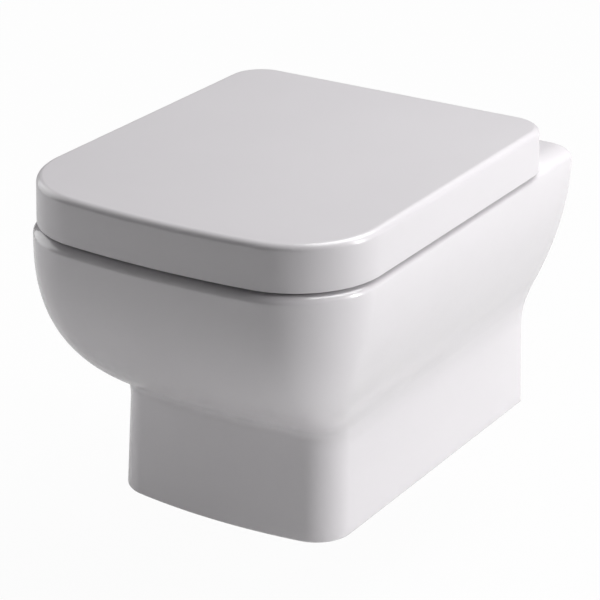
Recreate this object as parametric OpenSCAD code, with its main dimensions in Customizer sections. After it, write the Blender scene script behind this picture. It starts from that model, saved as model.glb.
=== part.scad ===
// Wall hung toilet with a deep lid over the seat.
// Millimetres. The origin is midway between the two wall bolts, in the plane of the wall.
// +X is to the right seen from the front, the front faces -Y, and +Z is up.

/* [Pan body] */
// Overall width of the pan where it meets the wall
pan_rear_w = 342.8; // [330:0.1:350]
// Overall width of the pan at its front corners
pan_front_w = 361; // [350:0.5:372]
// Distance that the pan stands out from the wall
pan_length = 499; // [480:1:520]
// Height of the pan from its base to the deck
pan_h = 295; // [285:1:310]
// Height of the deck above the wall bolts
deck_z = 90; // [80:1:96]
// Radius of the two front corners in plan
pan_corner_r = 91; // [80:1:100]
// How far the middle of the front bulges past its corners
pan_bow = 17.5; // [10:0.5:22]
// Width of the rounding along the top edge
edge_round_w = 24; // [12:1:26]
// Height of the rounding along the top edge
edge_round_h = 12; // [8:0.5:14]
// Thickness of the outer skin of the pan
skin_t = 11; // [9:0.5:13]
// Thickness of the deck behind the bowl
deck_t = 12; // [10:0.5:14]
// How fast the belly of the bowl draws in at the sides
side_power = 1.87; // [1.7:0.01:2.1]
// How fast the belly of the bowl draws in at the front
front_power = 2.8; // [2.4:0.1:3.2]

/* [Pedestal] */
// Width of the narrow lower body just under the bowl
ped_w = 242.2; // [236:0.2:252]
// Distance from the wall to the front of the lower body
ped_length = 395; // [380:1:405]
// Radius of the front corners of the lower body
ped_corner_r = 39; // [28:1:44]
// How far the middle of its front bulges
ped_bow = 13; // [8:0.5:16]
// Depth below the deck at which bowl and lower body meet
crease_d = 181; // [172:1:186]
// How much the lower body widens on each side towards its base
ped_flare = 4.2; // [1:0.2:5]
// Softness of the blend between bowl and lower body
blend_k = 15; // [5:0.5:18]

/* [Bowl inside] */
// Width of the opening in the rim
mouth_w = 250; // [240:1:256]
// Distance from the wall to the back of the opening
mouth_rear = 150; // [148:1:154]
// Distance from the wall to the front of the opening
mouth_front = 444; // [438:1:448]
// Depth of the rim from the deck to its underside
rim_h = 40; // [36:1:44]
// How far the bowl goes back under the rim
undercut = 20; // [16:1:22]
// Thickness of the bowl wall
bowl_t = 10; // [8:0.5:11]
// Height of the water channel inside the rim
channel_h = 22; // [16:1:24]
// Width of the water channel inside the rim
channel_w = 28; // [22:1:30]
// Wall between the channel and the mouth
channel_wall = 8; // [7:0.5:9]
// Rounding of the mouth's upper edge
mouth_lip = 6; // [4:0.5:7]
// Distance from the wall to the middle of the sump
sump_mid = 262; // [258:1:266]
// Radius of the sump
sump_r = 47; // [44:1:50]
// China left under the sump
sump_t = 13; // [11:0.5:16]
// Number of small holes under the rim that the flush water leaves by
jet_count = 22; // [12:2:30]
// Diameter of each of these holes
jet_d = 5; // [4:0.5:6]

/* [Trap and pipe sockets] */
// Height difference between the flush inlet and the wall bolts
inlet_above = 35; // [35:1:36]
// Height difference between the waste outlet and the wall bolts
outlet_below = 100; // [100:1:101]
// Bore of the flush inlet
inlet_d = 55; // [54:0.5:56]
// Depth of that bore
inlet_depth = 38; // [30:1:42]
// Wall of the inlet socket
inlet_wall = 9; // [7:0.5:10]
// Outer diameter of the waste spigot
outlet_d = 102; // [100:0.5:103]
// Wall of the waste spigot
outlet_wall = 8; // [7:0.5:9]
// Length of the straight part of the waste spigot
outlet_len = 46; // [40:1:50]
// How far both sockets end short of the wall
socket_back = 6; // [4:0.5:8]
// Height of the trap's crest line above the waste outlet's line
weir_rise = 38; // [34:1:40]
// Bore of the water trap
trap_d = 54; // [50:1:56]
// Wall of the water trap
trap_wall = 9; // [8:0.5:10]

/* [Wall fixing] */
// Distance between the two wall bolts
bolt_spacing = 180; // [180:1:182]
// Size of the wall bolts that the sleeves take
bolt_d = 12; // [12:0.5:13]
// Hole in the china for each sleeve
lug_hole_d = 22; // [20:0.5:24]
// Thickness of the lug that the bolt clamps
lug_t = 18; // [15:1:22]
// Height of each lug
lug_h = 58; // [50:1:64]
// Distance from the wall to the front of the web that ties each lug to the deck
lug_web = 46; // [40:1:48]

/* [Seat and lid] */
// How far each side of the lid would stand out past the pan at the wall
lid_side_out = 5.6; // [3:0.1:6.5]
// How far each side of the lid stays inside the pan at the front corners
lid_side_in = 0.8; // [0.5:0.1:5]
// Distance from the wall to the back face of the lid
lid_rear = 59; // [56:0.5:62]
// How far the lid stays behind the front of the pan
lid_front_in = 5.5; // [4:0.5:12]
// Height of the lid
lid_h = 45; // [43:0.5:47]
// Height of the lid's lower edge over the deck, negative where it hangs past the rounded edge
lid_gap = -1; // [-1:0.1:1]
// Radius of the back corners of the lid
lid_rear_r = 36.5; // [30:0.5:44]
// How much more the middle of the lid's front bulges than the pan's does
lid_bow_more = 0.5; // [0:0.25:2]
// Rounding of the lid's top edge
lid_round = 6.5; // [5:0.5:9]
// Thickness of the lid's top
lid_top_t = 5; // [4:0.5:6]
// Thickness of the lid's skirt
lid_wall = 6; // [5:0.5:7]
// Thickness of the seat ring
seat_t = 20; // [18:0.5:21]
// Room between the seat ring and the inside of the lid's skirt
seat_side_gap = 3; // [2:0.5:5]
// Width of the opening in the seat
seat_mouth_w = 218; // [210:1:226]
// Distance from the wall to the back of the seat's opening
seat_mouth_rear = 168; // [164:1:176]
// Distance from the wall to the front of the seat's opening
seat_mouth_front = 424; // [416:1:430]
// Height of the rubber feet under the seat
foot_h = 9; // [8:0.5:10]
// Diameter of the feet under the seat
foot_d = 22; // [18:1:24]
// Diameter of the feet under the lid
lid_foot_d = 16; // [12:1:18]

/* [Hinges] */
// Distance between the two hinge posts
hinge_spacing = 155; // [150:1:160]
// Distance from the wall to the hinge line
hinge_y = 73; // [72:0.5:76]
// How far the seat bolts stand in front of the hinge line
seat_bolt_fwd = 13; // [12.5:0.5:14]
// Height of the hinge line above the deck
hinge_h = 28; // [28:0.5:29]
// Diameter of the hinge pin
pin_d = 8; // [7:0.5:9]
// Outer radius of the barrels on the hinge line
barrel_r = 10; // [9.5:0.1:10.4]
// Width of the post's barrel
post_w = 16; // [14:0.5:18]
// Width of each knuckle on the seat and on the lid
knuckle_w = 17.5; // [16:0.5:18.5]
// Diameter of the damper cartridges and bushes
damper_d = 13; // [12:0.5:14]
// Gap between neighbouring barrels
barrel_gap = 0.5; // [0.4:0.1:0.8]
// Diameter of the round base under each post
base_d = 44; // [40:1:46]
// Thickness of that base
base_t = 4; // [3.5:0.5:5]
// Thickness of the soft washer under the base
gasket_t = 1.5; // [1:0.5:2]
// Wall of the polished cover over the base
cover_t = 1; // [0.8:0.1:1.2]
// Diameter of the bolts that hold the seat down
seat_bolt_d = 8; // [7:0.5:9]
// Hole in the deck for each seat bolt
seat_hole_d = 15; // [14:0.5:16]
// Length of the seat bolts below the base
seat_bolt_len = 52; // [46:1:56]

/* [Hidden] */
$fn = 64;

// Clearance of a running shaft in its bore, on the radius
run_c = 0.05;
// Gap left between faces of pieces that move against each other
rest_c = 0.3;
// Overlap used when two shapes of one piece are joined
weld = 2;
// Overrun of a cut past the face that it opens
over = 1;

// Colours of the finishes
china = "#f3f2f3";
seat_white = "#eeeef0";
rubber_grey = "#d9d9d6";
steel = "#c9cacc";
zinc = "#aeb0b3";
nylon = "#e6e3da";
damper_grey = "#8e9296";

base_z = deck_z - pan_h;
axis_z = deck_z + hinge_h;
lid_rear_w = pan_rear_w + 2 * lid_side_out;
lid_front_w = pan_front_w - 2 * lid_side_in;
lid_front = pan_length - lid_front_in;
lid_corner_r = pan_corner_r;
lid_bow = pan_bow + lid_bow_more;
lid_bottom = deck_z + lid_gap;
lid_top = lid_bottom + lid_h;
lid_under = lid_top - lid_top_t;
seat_bottom = deck_z + foot_h;
seat_top = seat_bottom + seat_t;
rim_under = deck_z - rim_h;
channel_z = rim_under + (rim_h - channel_h) * 0.45;
inlet_z = inlet_above;
outlet_z = -outlet_below;
hinge_x = hinge_spacing / 2;
seat_bolt_y = hinge_y + seat_bolt_fwd;
seat_knuckle_x = hinge_x - post_w / 2 - barrel_gap - knuckle_w / 2;
lid_knuckle_x = hinge_x + post_w / 2 + barrel_gap + knuckle_w / 2;
// The lid's back edge turns inside this radius, clear of the deck
swing_r = hinge_h - 0.8;
// Back edge of the seat ring, clear of the lid's back edge as it swings
swing_gap = 3;
seat_rear = hinge_y + swing_r + swing_gap;

// Steps round a corner, across half of a bowed front and round the bowl
n_corner = 10;
n_bow = 6;
n_bowl = 36;

// How fast the bowl's plan corners tighten towards the lower body, and the least radius inside
corner_power = 1.42;
inner_corner_r = 8;
// China between the rim channel's level and the hollow under it
rim_floor_t = 8;
// Squareness of the mouth's and of the seat opening's outline, where 2 is an ellipse
mouth_power = 3.4;
seat_mouth_power = 2.7;
// How fast the bowl narrows towards the sump at its front and sides, and at its back
bowl_power = 1.9;
bowl_back_power = 1.15;
// Height of the sump and width of the rounding at its floor
sump_h = 50;
sump_round = 20;

// Largest of two values with a soft passage between them
function soft_max(a, b, k) = max(a, b) + pow(max(k - abs(a - b), 0), 2) / (4 * k);

// Right half of a plan outline, as [x, distance from wall], from the wall or back edge to the front
function half_outline(a_rear, a_front, rear, front, r, bow, r_rear) =
    let (
        big_r = (a_front * a_front + bow * bow) / (2 * bow),
        big_y = front - big_r,
        cx = a_front - r,
        cy = big_y + sqrt(pow(big_r - r, 2) - cx * cx),
        turn = atan2(cy - big_y, cx),
        y0 = rear + r_rear,
        raw = concat(
            r_rear > 0
                ? [for (i = [0 : n_corner - 1]) let (t = -90 + 90 * i / n_corner)
                    [a_front - r_rear + r_rear * cos(t), y0 + r_rear * sin(t)]]
                : [],
            [[a_front, y0]],
            [for (i = [0 : n_corner - 1]) let (t = turn * i / n_corner)
                [cx + r * cos(t), cy + r * sin(t)]],
            [for (i = [0 : n_bow]) let (t = turn + (90 - turn) * i / n_bow)
                [big_r * cos(t), big_y + big_r * sin(t)]])
    )
    [for (p = raw) [p[0] * (a_rear + (a_front - a_rear) * (p[1] - rear) / (front - rear)) / a_front, p[1]]];

// Closed outline as 3-D points at height z
function ring(half, z) =
    let (n = len(half))
    concat(
        [for (p = half) [p[0], -p[1], z]],
        [for (i = [n - 2 : -1 : 0]) [-half[i][0], -half[i][1], z]]);

// Solid through a stack of rings, listed from the top down
module loft(rings) {
    n = len(rings[0]);
    m = len(rings);
    sides = [for (k = [0 : m - 2]) for (i = [0 : n - 1])
        let (j = (i + 1) % n, a = k * n, b = (k + 1) * n)
        each [[a + i, b + i, b + j], [a + i, b + j, a + j]]];
    top = [[for (i = [0 : n - 1]) i]];
    bottom = [[for (i = [n - 1 : -1 : 0]) (m - 1) * n + i]];
    polyhedron(points = [for (r = rings) each r], faces = concat(top, sides, bottom));
}

// Rounded oblong around a centre, from a superellipse
function oval(hw, y_rear, y_front, power, z, n) =
    let (cy = (y_rear + y_front) / 2, hl = (y_front - y_rear) / 2)
    [for (i = [0 : n - 1])
        let (t = 90 - 360 * i / n, c = cos(t), s = sin(t))
        [hw * sign(c) * pow(abs(c), 2 / power), -cy - hl * sign(-s) * pow(abs(s), 2 / power), z]];

// How much of the bowl's extra size is left at a depth below the deck
function belly(d, power) =
    d <= edge_round_h ? 1 : 1 - pow((d - edge_round_h) / (crease_d - edge_round_h), power);

// Inset of the rounded top edge at a depth below the deck
function edge_inset(d) =
    d >= edge_round_h ? 0
        : edge_round_w * (1 - sqrt(1 - pow((edge_round_h - d) / edge_round_h, 2)));

// Widening of the lower body at a depth below the deck
function flare(d) = ped_flare * max(0, (d - crease_d) / (pan_h - crease_d));

// Outline of the pan's skin at depth d, moved inwards by t
function skin_half(d, t, rear) =
    let (
        e = edge_inset(d) + t,
        ped_a = ped_w / 2 + flare(d),
        wall_a = soft_max(ped_a + (pan_rear_w / 2 - ped_w / 2) * belly(d, side_power), ped_a, blend_k),
        front_a = soft_max(ped_a + (pan_front_w / 2 - ped_w / 2) * belly(d, side_power), ped_a, blend_k),
        ped_f = ped_length + flare(d),
        f = soft_max(ped_f + (pan_length - ped_length) * belly(d, front_power), ped_f, blend_k),
        g = max(0, belly(d, corner_power)),
        r = ped_corner_r + (pan_corner_r - ped_corner_r) * g,
        b = ped_bow + (pan_bow - ped_bow) * g
    )
    half_outline(wall_a - e, front_a - e, rear, f - e, max(r - e, inner_corner_r), b, 0);

// Depths at which the skin is cut, closest together where bowl and lower body meet
soft_d0 = crease_d - 38;
soft_d1 = crease_d + 28;
outer_depths = concat(
    [for (i = [0 : 6]) edge_round_h * (1 - cos(15 * i))],
    [for (i = [1 : 9]) edge_round_h + (soft_d0 - edge_round_h) * i / 9],
    [for (i = [1 : 11]) soft_d0 + (soft_d1 - soft_d0) * i / 11],
    [for (i = [1 : 4]) soft_d1 + (pan_h - soft_d1) * i / 4]);

// Hollow behind and under the bowl, open at the back and at the base
hollow_top = rim_h + rim_floor_t;
hollow_d0 = crease_d - 30;
hollow_depths = concat(
    [for (i = [0 : 7]) hollow_top + (hollow_d0 - hollow_top) * i / 7],
    [for (i = [1 : 5]) hollow_d0 + (soft_d1 - hollow_d0) * i / 5],
    [pan_h + over]);

// Bowl sections from the mouth down: [height, half width, back, front, squareness]
mouth_mid = (mouth_rear + mouth_front) / 2;
sump_floor = base_z + sump_t;
sump_top = sump_floor + sump_h;
function bowl_sections(t) =
    let (
        n = 10,
        sump_back = sump_mid - sump_r,
        sump_front = sump_mid + sump_r
    )
    concat(
        [for (i = [0 : n])
            let (
                s = i / n,
                k = 1 - pow(s, bowl_power),
                k_back = 1 - pow(s, bowl_back_power),
                back = sump_back - (sump_back - mouth_rear + undercut) * k_back,
                front = sump_front + (mouth_front + undercut - sump_front) * k
            )
            [rim_under + (sump_top - rim_under) * s, sump_r + (mouth_w / 2 + undercut - sump_r) * k + t,
                back - t, front + t, 2 + (mouth_power - 2) * k]],
        [for (i = [1 : 5])
            let (a = 18 * i - 4, r = sump_r - sump_round * (1 - cos(a)))
            [sump_top + (sump_floor - t - sump_top) * sin(a), r + t, sump_mid - r - t, sump_mid + r + t, 2]]);

module bowl_skin() {
    loft([for (s = bowl_sections(bowl_t)) oval(s[1], s[2], s[3], s[4], s[0], n_bowl)]);
}

module bowl_space() {
    loft(concat(
        [for (i = [0 : 4])
            let (a = 22.5 * i, e = mouth_lip * (1 - sin(a)), z = deck_z - mouth_lip * (1 - cos(a)))
            oval(mouth_w / 2 + e, mouth_rear - e, mouth_front + e, mouth_power, i == 0 ? z + over : z, n_bowl)],
        [oval(mouth_w / 2, mouth_rear, mouth_front, mouth_power, rim_under + 0.02, n_bowl)],
        [for (s = bowl_sections(0)) oval(s[1], s[2], s[3], s[4], s[0], n_bowl)]));
}

// Water channel that runs round inside the rim
module rim_channel() {
    e1 = channel_wall;
    e2 = channel_wall + channel_w;
    z_top = channel_z + channel_h;
    difference() {
        loft([for (z = [z_top, channel_z])
            oval(mouth_w / 2 + e2, mouth_rear - e2, mouth_front + e2, mouth_power, z, n_bowl)]);
        loft([for (z = [z_top + over, channel_z - over])
            oval(mouth_w / 2 + e1, mouth_rear - e1, mouth_front + e1, mouth_power, z, n_bowl)]);
    }
}

// Centre line of the water trap, as [distance from wall, height]
trap_low_z = sump_floor + trap_d / 2;
crest_z = outlet_z + weir_rise;
leg_y = sump_mid - sump_r - 4;
leg_lean = 66;
fall = 36;
bend_r = trap_d / 2 + trap_wall + 8;
bend_z = bend_r * (1 - cos(leg_lean));
leg_run = (crest_z - trap_low_z - 2 * bend_z) / tan(leg_lean);
crest_y = leg_y - 2 * bend_r * sin(leg_lean) - leg_run;
trap_line = concat(
    [[sump_mid + 5.3, trap_low_z]],
    [for (i = [0 : 6]) let (a = leg_lean * i / 6)
        [leg_y - bend_r * sin(a), trap_low_z + bend_r * (1 - cos(a))]],
    [for (i = [0 : 8]) let (a = leg_lean - (leg_lean + fall) * i / 8)
        [crest_y + bend_r * sin(a), crest_z - bend_r * (1 - cos(a))]],
    [[outlet_len - 20, outlet_z - 10]]);
trap_last = len(trap_line) - 1;
// Where the casing meets the back of the bowl, and where the spigot's collar begins
bowl_back_y = mouth_rear + 38;
collar_y = socket_back + outlet_len;

// Direction square to the centre line at point k, on the side that faces the wall and the base
function trap_side(k) =
    let (d = trap_line[min(k + 1, trap_last)] - trap_line[max(k - 1, 0)])
    [-d[1], d[0]] / norm(d);

// Round passage of the trap, which widens into the waste spigot
module trap_passage() {
    n = 20;
    widen = 0.1;
    loft([for (k = [0 : trap_last])
        let (
            p = trap_line[k],
            side = trap_side(k),
            r = trap_d / 2 * (k == trap_last ? 1 + widen : 1)
        )
        [for (i = [0 : n - 1]) let (t = 360 * (i + 0.5) / n)
            [cos(t) * r, -(p[0] + side[0] * sin(t) * r), p[1] + side[1] * sin(t) * r]]]);
}

// China round the passage, flat at the sides, which runs into the back of the bowl and ends at the spigot's collar
module trap_casing() {
    r = trap_d / 2 + trap_wall;
    crest_k = 13;
    difference() {
        rotate([90, 0, -90])
            linear_extrude(2 * r, center = true)
                polygon(concat(
                    [for (k = [0 : trap_last]) trap_line[k] + r * trap_side(k)],
                    [for (k = [trap_last : -1 : crest_k]) trap_line[k] - r * trap_side(k)],
                    [[bowl_back_y, crest_z + r - weld], [sump_mid, sump_top]]));
        block(-r - over, r + over, -over, collar_y + over, outlet_z - outlet_d, crest_z + r + over);
    }
}

module along_y(d, y_from, y_to) {
    translate([0, -y_from, 0])
        rotate([90, 0, 0])
            cylinder(d = d, h = y_to - y_from);
}

module along_x(r, x_mid, w) {
    translate([x_mid - w / 2, -hinge_y, axis_z])
        rotate([0, 90, 0])
            cylinder(r = r, h = w);
}

// Copies for the right and the left side
module both() {
    children();
    mirror([1, 0, 0])
        children();
}

// Box from the back and front distances to the wall
module block(x0, x1, y_back, y_front, z0, z1) {
    translate([x0, -y_front, z0])
        cube([x1 - x0, y_front - y_back, z1 - z0]);
}

// Box shaped chamber between the flush inlet and the rim channel, and the china round it
chamber_hw = 36;
chamber_t = 9;
chamber_back = 66;
chamber_lap = 6;
chamber_front = mouth_rear - channel_wall - channel_w + chamber_lap;
chamber_z0 = inlet_z - inlet_d / 2 + chamber_lap;
// Thicker end of the waste spigot, which a pushed-on connector stops against
collar_t = 6;
collar_w = 14;
lug_in = bolt_spacing / 2 - 30;
// Each lug ends inside the skin at its own lower edge
lug_out = skin_half(deck_z + lug_h / 2, skin_t / 2, 0)[0][0];
// The hollow under the deck leaves room to turn the wing nuts
turn_room = 4;
wing_span = 36;
hollow_front = seat_bolt_y + wing_span / 2 + turn_room;
// Distance of the small holes from the mouth's edge
jet_in = channel_wall + 6;
// Step at the bottom of the flush inlet's bore, which stops the pipe
inlet_step = 5;

module pan() {
    color(china)
    difference() {
        union() {
            difference() {
                loft([for (d = outer_depths) ring(skin_half(d, 0, 0), deck_z - d)]);
                loft([for (d = hollow_depths) ring(skin_half(d, skin_t, -over), deck_z - d)]);
                loft([for (d = [deck_t, hollow_top + over])
                    [for (p = [[1, -over], [1, hollow_front], [-1, hollow_front], [-1, -over]])
                        [p[0] * (pan_rear_w / 2 - skin_t - 1), -p[1], deck_z - d]]]);
            }
            bowl_skin();
            trap_casing();
            translate([0, 0, outlet_z])
                along_y(outlet_d, socket_back, collar_y + weld);
            translate([0, 0, outlet_z])
                along_y(outlet_d + 2 * collar_t, collar_y, collar_y + collar_w);
            translate([0, 0, inlet_z])
                along_y(inlet_d + 2 * inlet_wall, socket_back, chamber_back + weld);
            block(-chamber_hw - chamber_t, chamber_hw + chamber_t, chamber_back - chamber_t,
                chamber_front + 1.5 * chamber_t, chamber_z0 - chamber_t, deck_z - deck_t + weld);
            both()
                block(lug_in, lug_out, 0, lug_t, -lug_h / 2, lug_h / 2);
            both()
                block(lug_in, lug_in + deck_t, 0, lug_web, -lug_h / 2, deck_z - deck_t + weld);
        }
        bowl_space();
        rim_channel();
        trap_passage();
        translate([0, 0, outlet_z])
            along_y(outlet_d - 2 * outlet_wall, 0, outlet_len);
        translate([0, 0, inlet_z])
            along_y(inlet_d, 0, socket_back + inlet_depth);
        translate([0, 0, inlet_z])
            along_y(inlet_d - 2 * inlet_step, inlet_depth, chamber_back + weld);
        block(-chamber_hw, chamber_hw, chamber_back, chamber_front, chamber_z0, channel_z + channel_h - over);
        for (i = [0 : jet_count - 1]) {
            t = 360 * (i + 0.5) / jet_count;
            c = cos(t);
            s = sin(t);
            translate([(mouth_w / 2 + jet_in) * sign(c) * pow(abs(c), 2 / mouth_power),
                    -mouth_mid - ((mouth_front - mouth_rear) / 2 + jet_in) * sign(s) * pow(abs(s), 2 / mouth_power),
                    rim_under - over])
                cylinder(d = jet_d, h = channel_z - rim_under + 3 * over, $fn = 24);
        }
        both()
            translate([bolt_spacing / 2, 0, 0])
                along_y(lug_hole_d, -over, lug_t + over);
        both()
            translate([hinge_x, -seat_bolt_y, deck_z - deck_t - over])
                cylinder(d = seat_hole_d, h = deck_t + 2 * over);
    }
}

// Both wall bolts' positions
module at_bolts() {
    for (side = [-1, 1])
        translate([side * bolt_spacing / 2, 0, 0])
            children();
}

// Both seat bolts' positions, at a height
module at_seat_bolts(z) {
    for (side = [-1, 1])
        translate([side * hinge_x, -seat_bolt_y, z])
            children();
}

sleeve_flange_w = 6;
sleeve_flange_d = lug_hole_d + 2 * sleeve_flange_w;
sleeve_flange_t = 3;
bolt_play = 0.6;
bolt_hole_d = bolt_d + bolt_play;
sleeve_front = lug_t + sleeve_flange_t;

// Plastic sleeves that keep the steel bolts off the china
module wall_sleeves() {
    color(nylon)
    at_bolts()
        difference() {
            union() {
                along_y(lug_hole_d - 4 * run_c, 0, sleeve_front);
                along_y(sleeve_flange_d, lug_t, sleeve_front);
            }
            along_y(bolt_hole_d, -over, sleeve_front + over);
        }
}

wall_washer_t = 2.5;
wall_washer_in = 2;
// A nut is as thick and as wide as its bolt asks for
wall_nut_t = bolt_d - 2;
wall_nut_af = 1.5 * bolt_d;

module wall_washers() {
    color(steel)
    at_bolts()
        difference() {
            along_y(sleeve_flange_d - 2 * wall_washer_in, sleeve_front, sleeve_front + wall_washer_t);
            along_y(bolt_hole_d, sleeve_front - over, sleeve_front + wall_washer_t + over);
        }
}

// Six sided nut with both faces chamfered, along Z
module hex_nut(af, bore, t) {
    corner_r = af / cos(30) / 2;
    chamfer = 0.06 * af;
    difference() {
        intersection() {
            cylinder(r = corner_r, h = t, $fn = 6);
            rotate_extrude()
                polygon([[0, 0], [af / 2, 0], [corner_r, chamfer], [corner_r, t - chamfer], [af / 2, t], [0, t]]);
        }
        translate([0, 0, -over])
            cylinder(d = bore, h = t + 2 * over);
    }
}

module wall_nuts() {
    color(steel)
    at_bolts()
        translate([0, -sleeve_front - wall_washer_t, 0])
            rotate([90, 0, 0])
                hex_nut(wall_nut_af, bolt_hole_d, wall_nut_t);
}

base_z0 = deck_z + gasket_t;
base_top = base_z0 + base_t;
// Thread of the post that the seat bolt goes into, kept below the lid's back edge as it swings under
bolt_grip = 8;
boss_wall = 2.5;
boss_back = seat_bolt_y - seat_bolt_d / 2 - boss_wall;
// Upright of the post, between the bolt and the back edge of the seat ring
stem_back = seat_bolt_y + seat_bolt_d / 2 + 0.5;
stem_front = seat_rear - 1.7;
stem_top = axis_z + barrel_r - 2;
arm_bottom = axis_z - barrel_r + 1;

// Cast post: round base with a threaded boss, an upright in front of the bolt, and an arm back to the hinge line
module hinge_post(side) {
    x0 = side * hinge_x - post_w / 2;
    color(zinc)
    difference() {
        union() {
            translate([side * hinge_x, -seat_bolt_y, base_z0])
                cylinder(d = base_d, h = base_t);
            block(x0, x0 + post_w, boss_back, stem_front, base_z0, base_z0 + bolt_grip);
            block(x0, x0 + post_w, stem_back, stem_front, base_z0, stem_top);
            block(x0, x0 + post_w, hinge_y, stem_front, arm_bottom, stem_top);
            along_x(barrel_r, side * hinge_x, post_w);
        }
        along_x(pin_d / 2 + run_c, side * hinge_x, post_w + 2 * over);
        translate([side * hinge_x, -seat_bolt_y, base_z0 - over])
            cylinder(d = seat_bolt_d + 2 * run_c, h = bolt_grip + 2 * over);
    }
}

module hinge_post_left() {
    hinge_post(-1);
}

module hinge_post_right() {
    hinge_post(1);
}

cover_gap = 0.3;
cover_d = base_d + 2 * cover_gap + 2 * cover_t;
cover_edge = 0.7 * cover_t;
cover_h = base_top + cover_t - deck_z;

// Polished cover that snaps over each base, with a slot for the post
module hinge_covers() {
    color(steel)
    at_seat_bolts(0)
        difference() {
            translate([0, 0, deck_z + cover_gap])
                rotate_extrude()
                    polygon([[0, 0], [cover_d / 2, 0], [cover_d / 2, cover_h - cover_edge],
                        [cover_d / 2 - cover_edge, cover_h], [0, cover_h]]);
            translate([0, 0, deck_z])
                cylinder(d = cover_d - 2 * cover_t, h = base_top + cover_gap - deck_z);
            translate([-post_w / 2 - cover_gap, seat_bolt_y - stem_front - cover_gap, deck_z])
                cube([post_w + 2 * cover_gap, stem_front - boss_back + 2 * cover_gap, hinge_h]);
        }
}

gasket_in = 0.5;

module hinge_gaskets() {
    color(rubber_grey)
    at_seat_bolts(deck_z)
        difference() {
            cylinder(d = base_d - 2 * gasket_in, h = gasket_t);
            translate([0, 0, -over])
                cylinder(d = seat_bolt_d + 2 * gasket_in, h = gasket_t + 2 * over);
        }
}

pin_len = post_w + 2 * knuckle_w + 2 * barrel_gap;

module hinge_pin(side) {
    color(steel)
    along_x(pin_d / 2, side * hinge_x, pin_len);
}

module hinge_pin_left() {
    hinge_pin(-1);
}

module hinge_pin_right() {
    hinge_pin(1);
}

// Threaded studs from the posts down through the deck
module seat_bolts() {
    color(steel)
    at_seat_bolts(base_z0 - seat_bolt_len)
        cylinder(d = seat_bolt_d, h = seat_bolt_len + bolt_grip - 0.5);
}

// Play between the seat bolts and what they pass through
seat_bolt_play = 0.3;
bush_flange_d = seat_hole_d + 9;
bush_flange_t = 4;
bush_taper = 1.4;
bush_h = deck_t - 1.5;
deck_under = deck_z - deck_t;

// Rubber cones that centre the bolts in the deck's holes, put in from below
module seat_bolt_bushes() {
    wide = seat_hole_d / 2 - 0.2;
    color(rubber_grey)
    at_seat_bolts(deck_under)
        difference() {
            rotate_extrude()
                polygon([[0, -bush_flange_t], [bush_flange_d / 2, -bush_flange_t], [bush_flange_d / 2, 0],
                    [wide, 0], [wide - bush_taper, bush_h], [0, bush_h]]);
            translate([0, 0, -bush_flange_t - over])
                cylinder(d = seat_bolt_d + seat_bolt_play, h = bush_h + bush_flange_t + 2 * over);
        }
}

seat_washer_t = 2;
seat_washer_in = 1;

module seat_bolt_washers() {
    color(nylon)
    at_seat_bolts(deck_under - bush_flange_t - seat_washer_t)
        difference() {
            cylinder(d = bush_flange_d - 2 * seat_washer_in, h = seat_washer_t);
            translate([0, 0, -over])
                cylinder(d = seat_bolt_d + seat_bolt_play, h = seat_washer_t + 2 * over);
        }
}

wing_hub_d = 16;
wing_hub_h = 12;
wing_t = 4;
wing_drop = 5;
wing_tip_w = 7;
wing_tip_h = 8;

module seat_wing_nuts() {
    tip = wing_span / 2;
    hub = wing_hub_d / 2;
    color(nylon)
    at_seat_bolts(deck_under - bush_flange_t - seat_washer_t - wing_hub_h)
        difference() {
            union() {
                cylinder(d = wing_hub_d, h = wing_hub_h);
                rotate([90, 0, 0])
                    linear_extrude(wing_t, center = true)
                        polygon([[-tip, -wing_drop], [-tip + wing_tip_w, -wing_drop], [-hub + weld, weld],
                            [hub - weld, weld], [tip - wing_tip_w, -wing_drop], [tip, -wing_drop],
                            [tip, wing_tip_h - wing_drop], [hub, wing_hub_h - over],
                            [-hub, wing_hub_h - over], [-tip, wing_tip_h - wing_drop]]);
            }
            translate([0, 0, -over - wing_drop])
                cylinder(d = seat_bolt_d + seat_bolt_play, h = wing_hub_h + 2 * over + wing_drop);
        }
}

// Outline of the lid moved inwards by t, from its back edge or from another one
function lid_half(t, rear, r_rear) =
    half_outline(lid_rear_w / 2 - t, lid_front_w / 2 - t, rear, lid_front - t, lid_corner_r - t, lid_bow, r_rear);

lid_draft = 1;
skirt_edge = 1;
inner_round = 4;
knuckle_bore = damper_d / 2 + run_c;
// Notch in the lid's back skirt, from beside the seat's knuckle to past the lid's own
notch_in = seat_knuckle_x - knuckle_w / 2 - 1.5;
notch_out = lid_knuckle_x + knuckle_w / 2 + 4;

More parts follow.
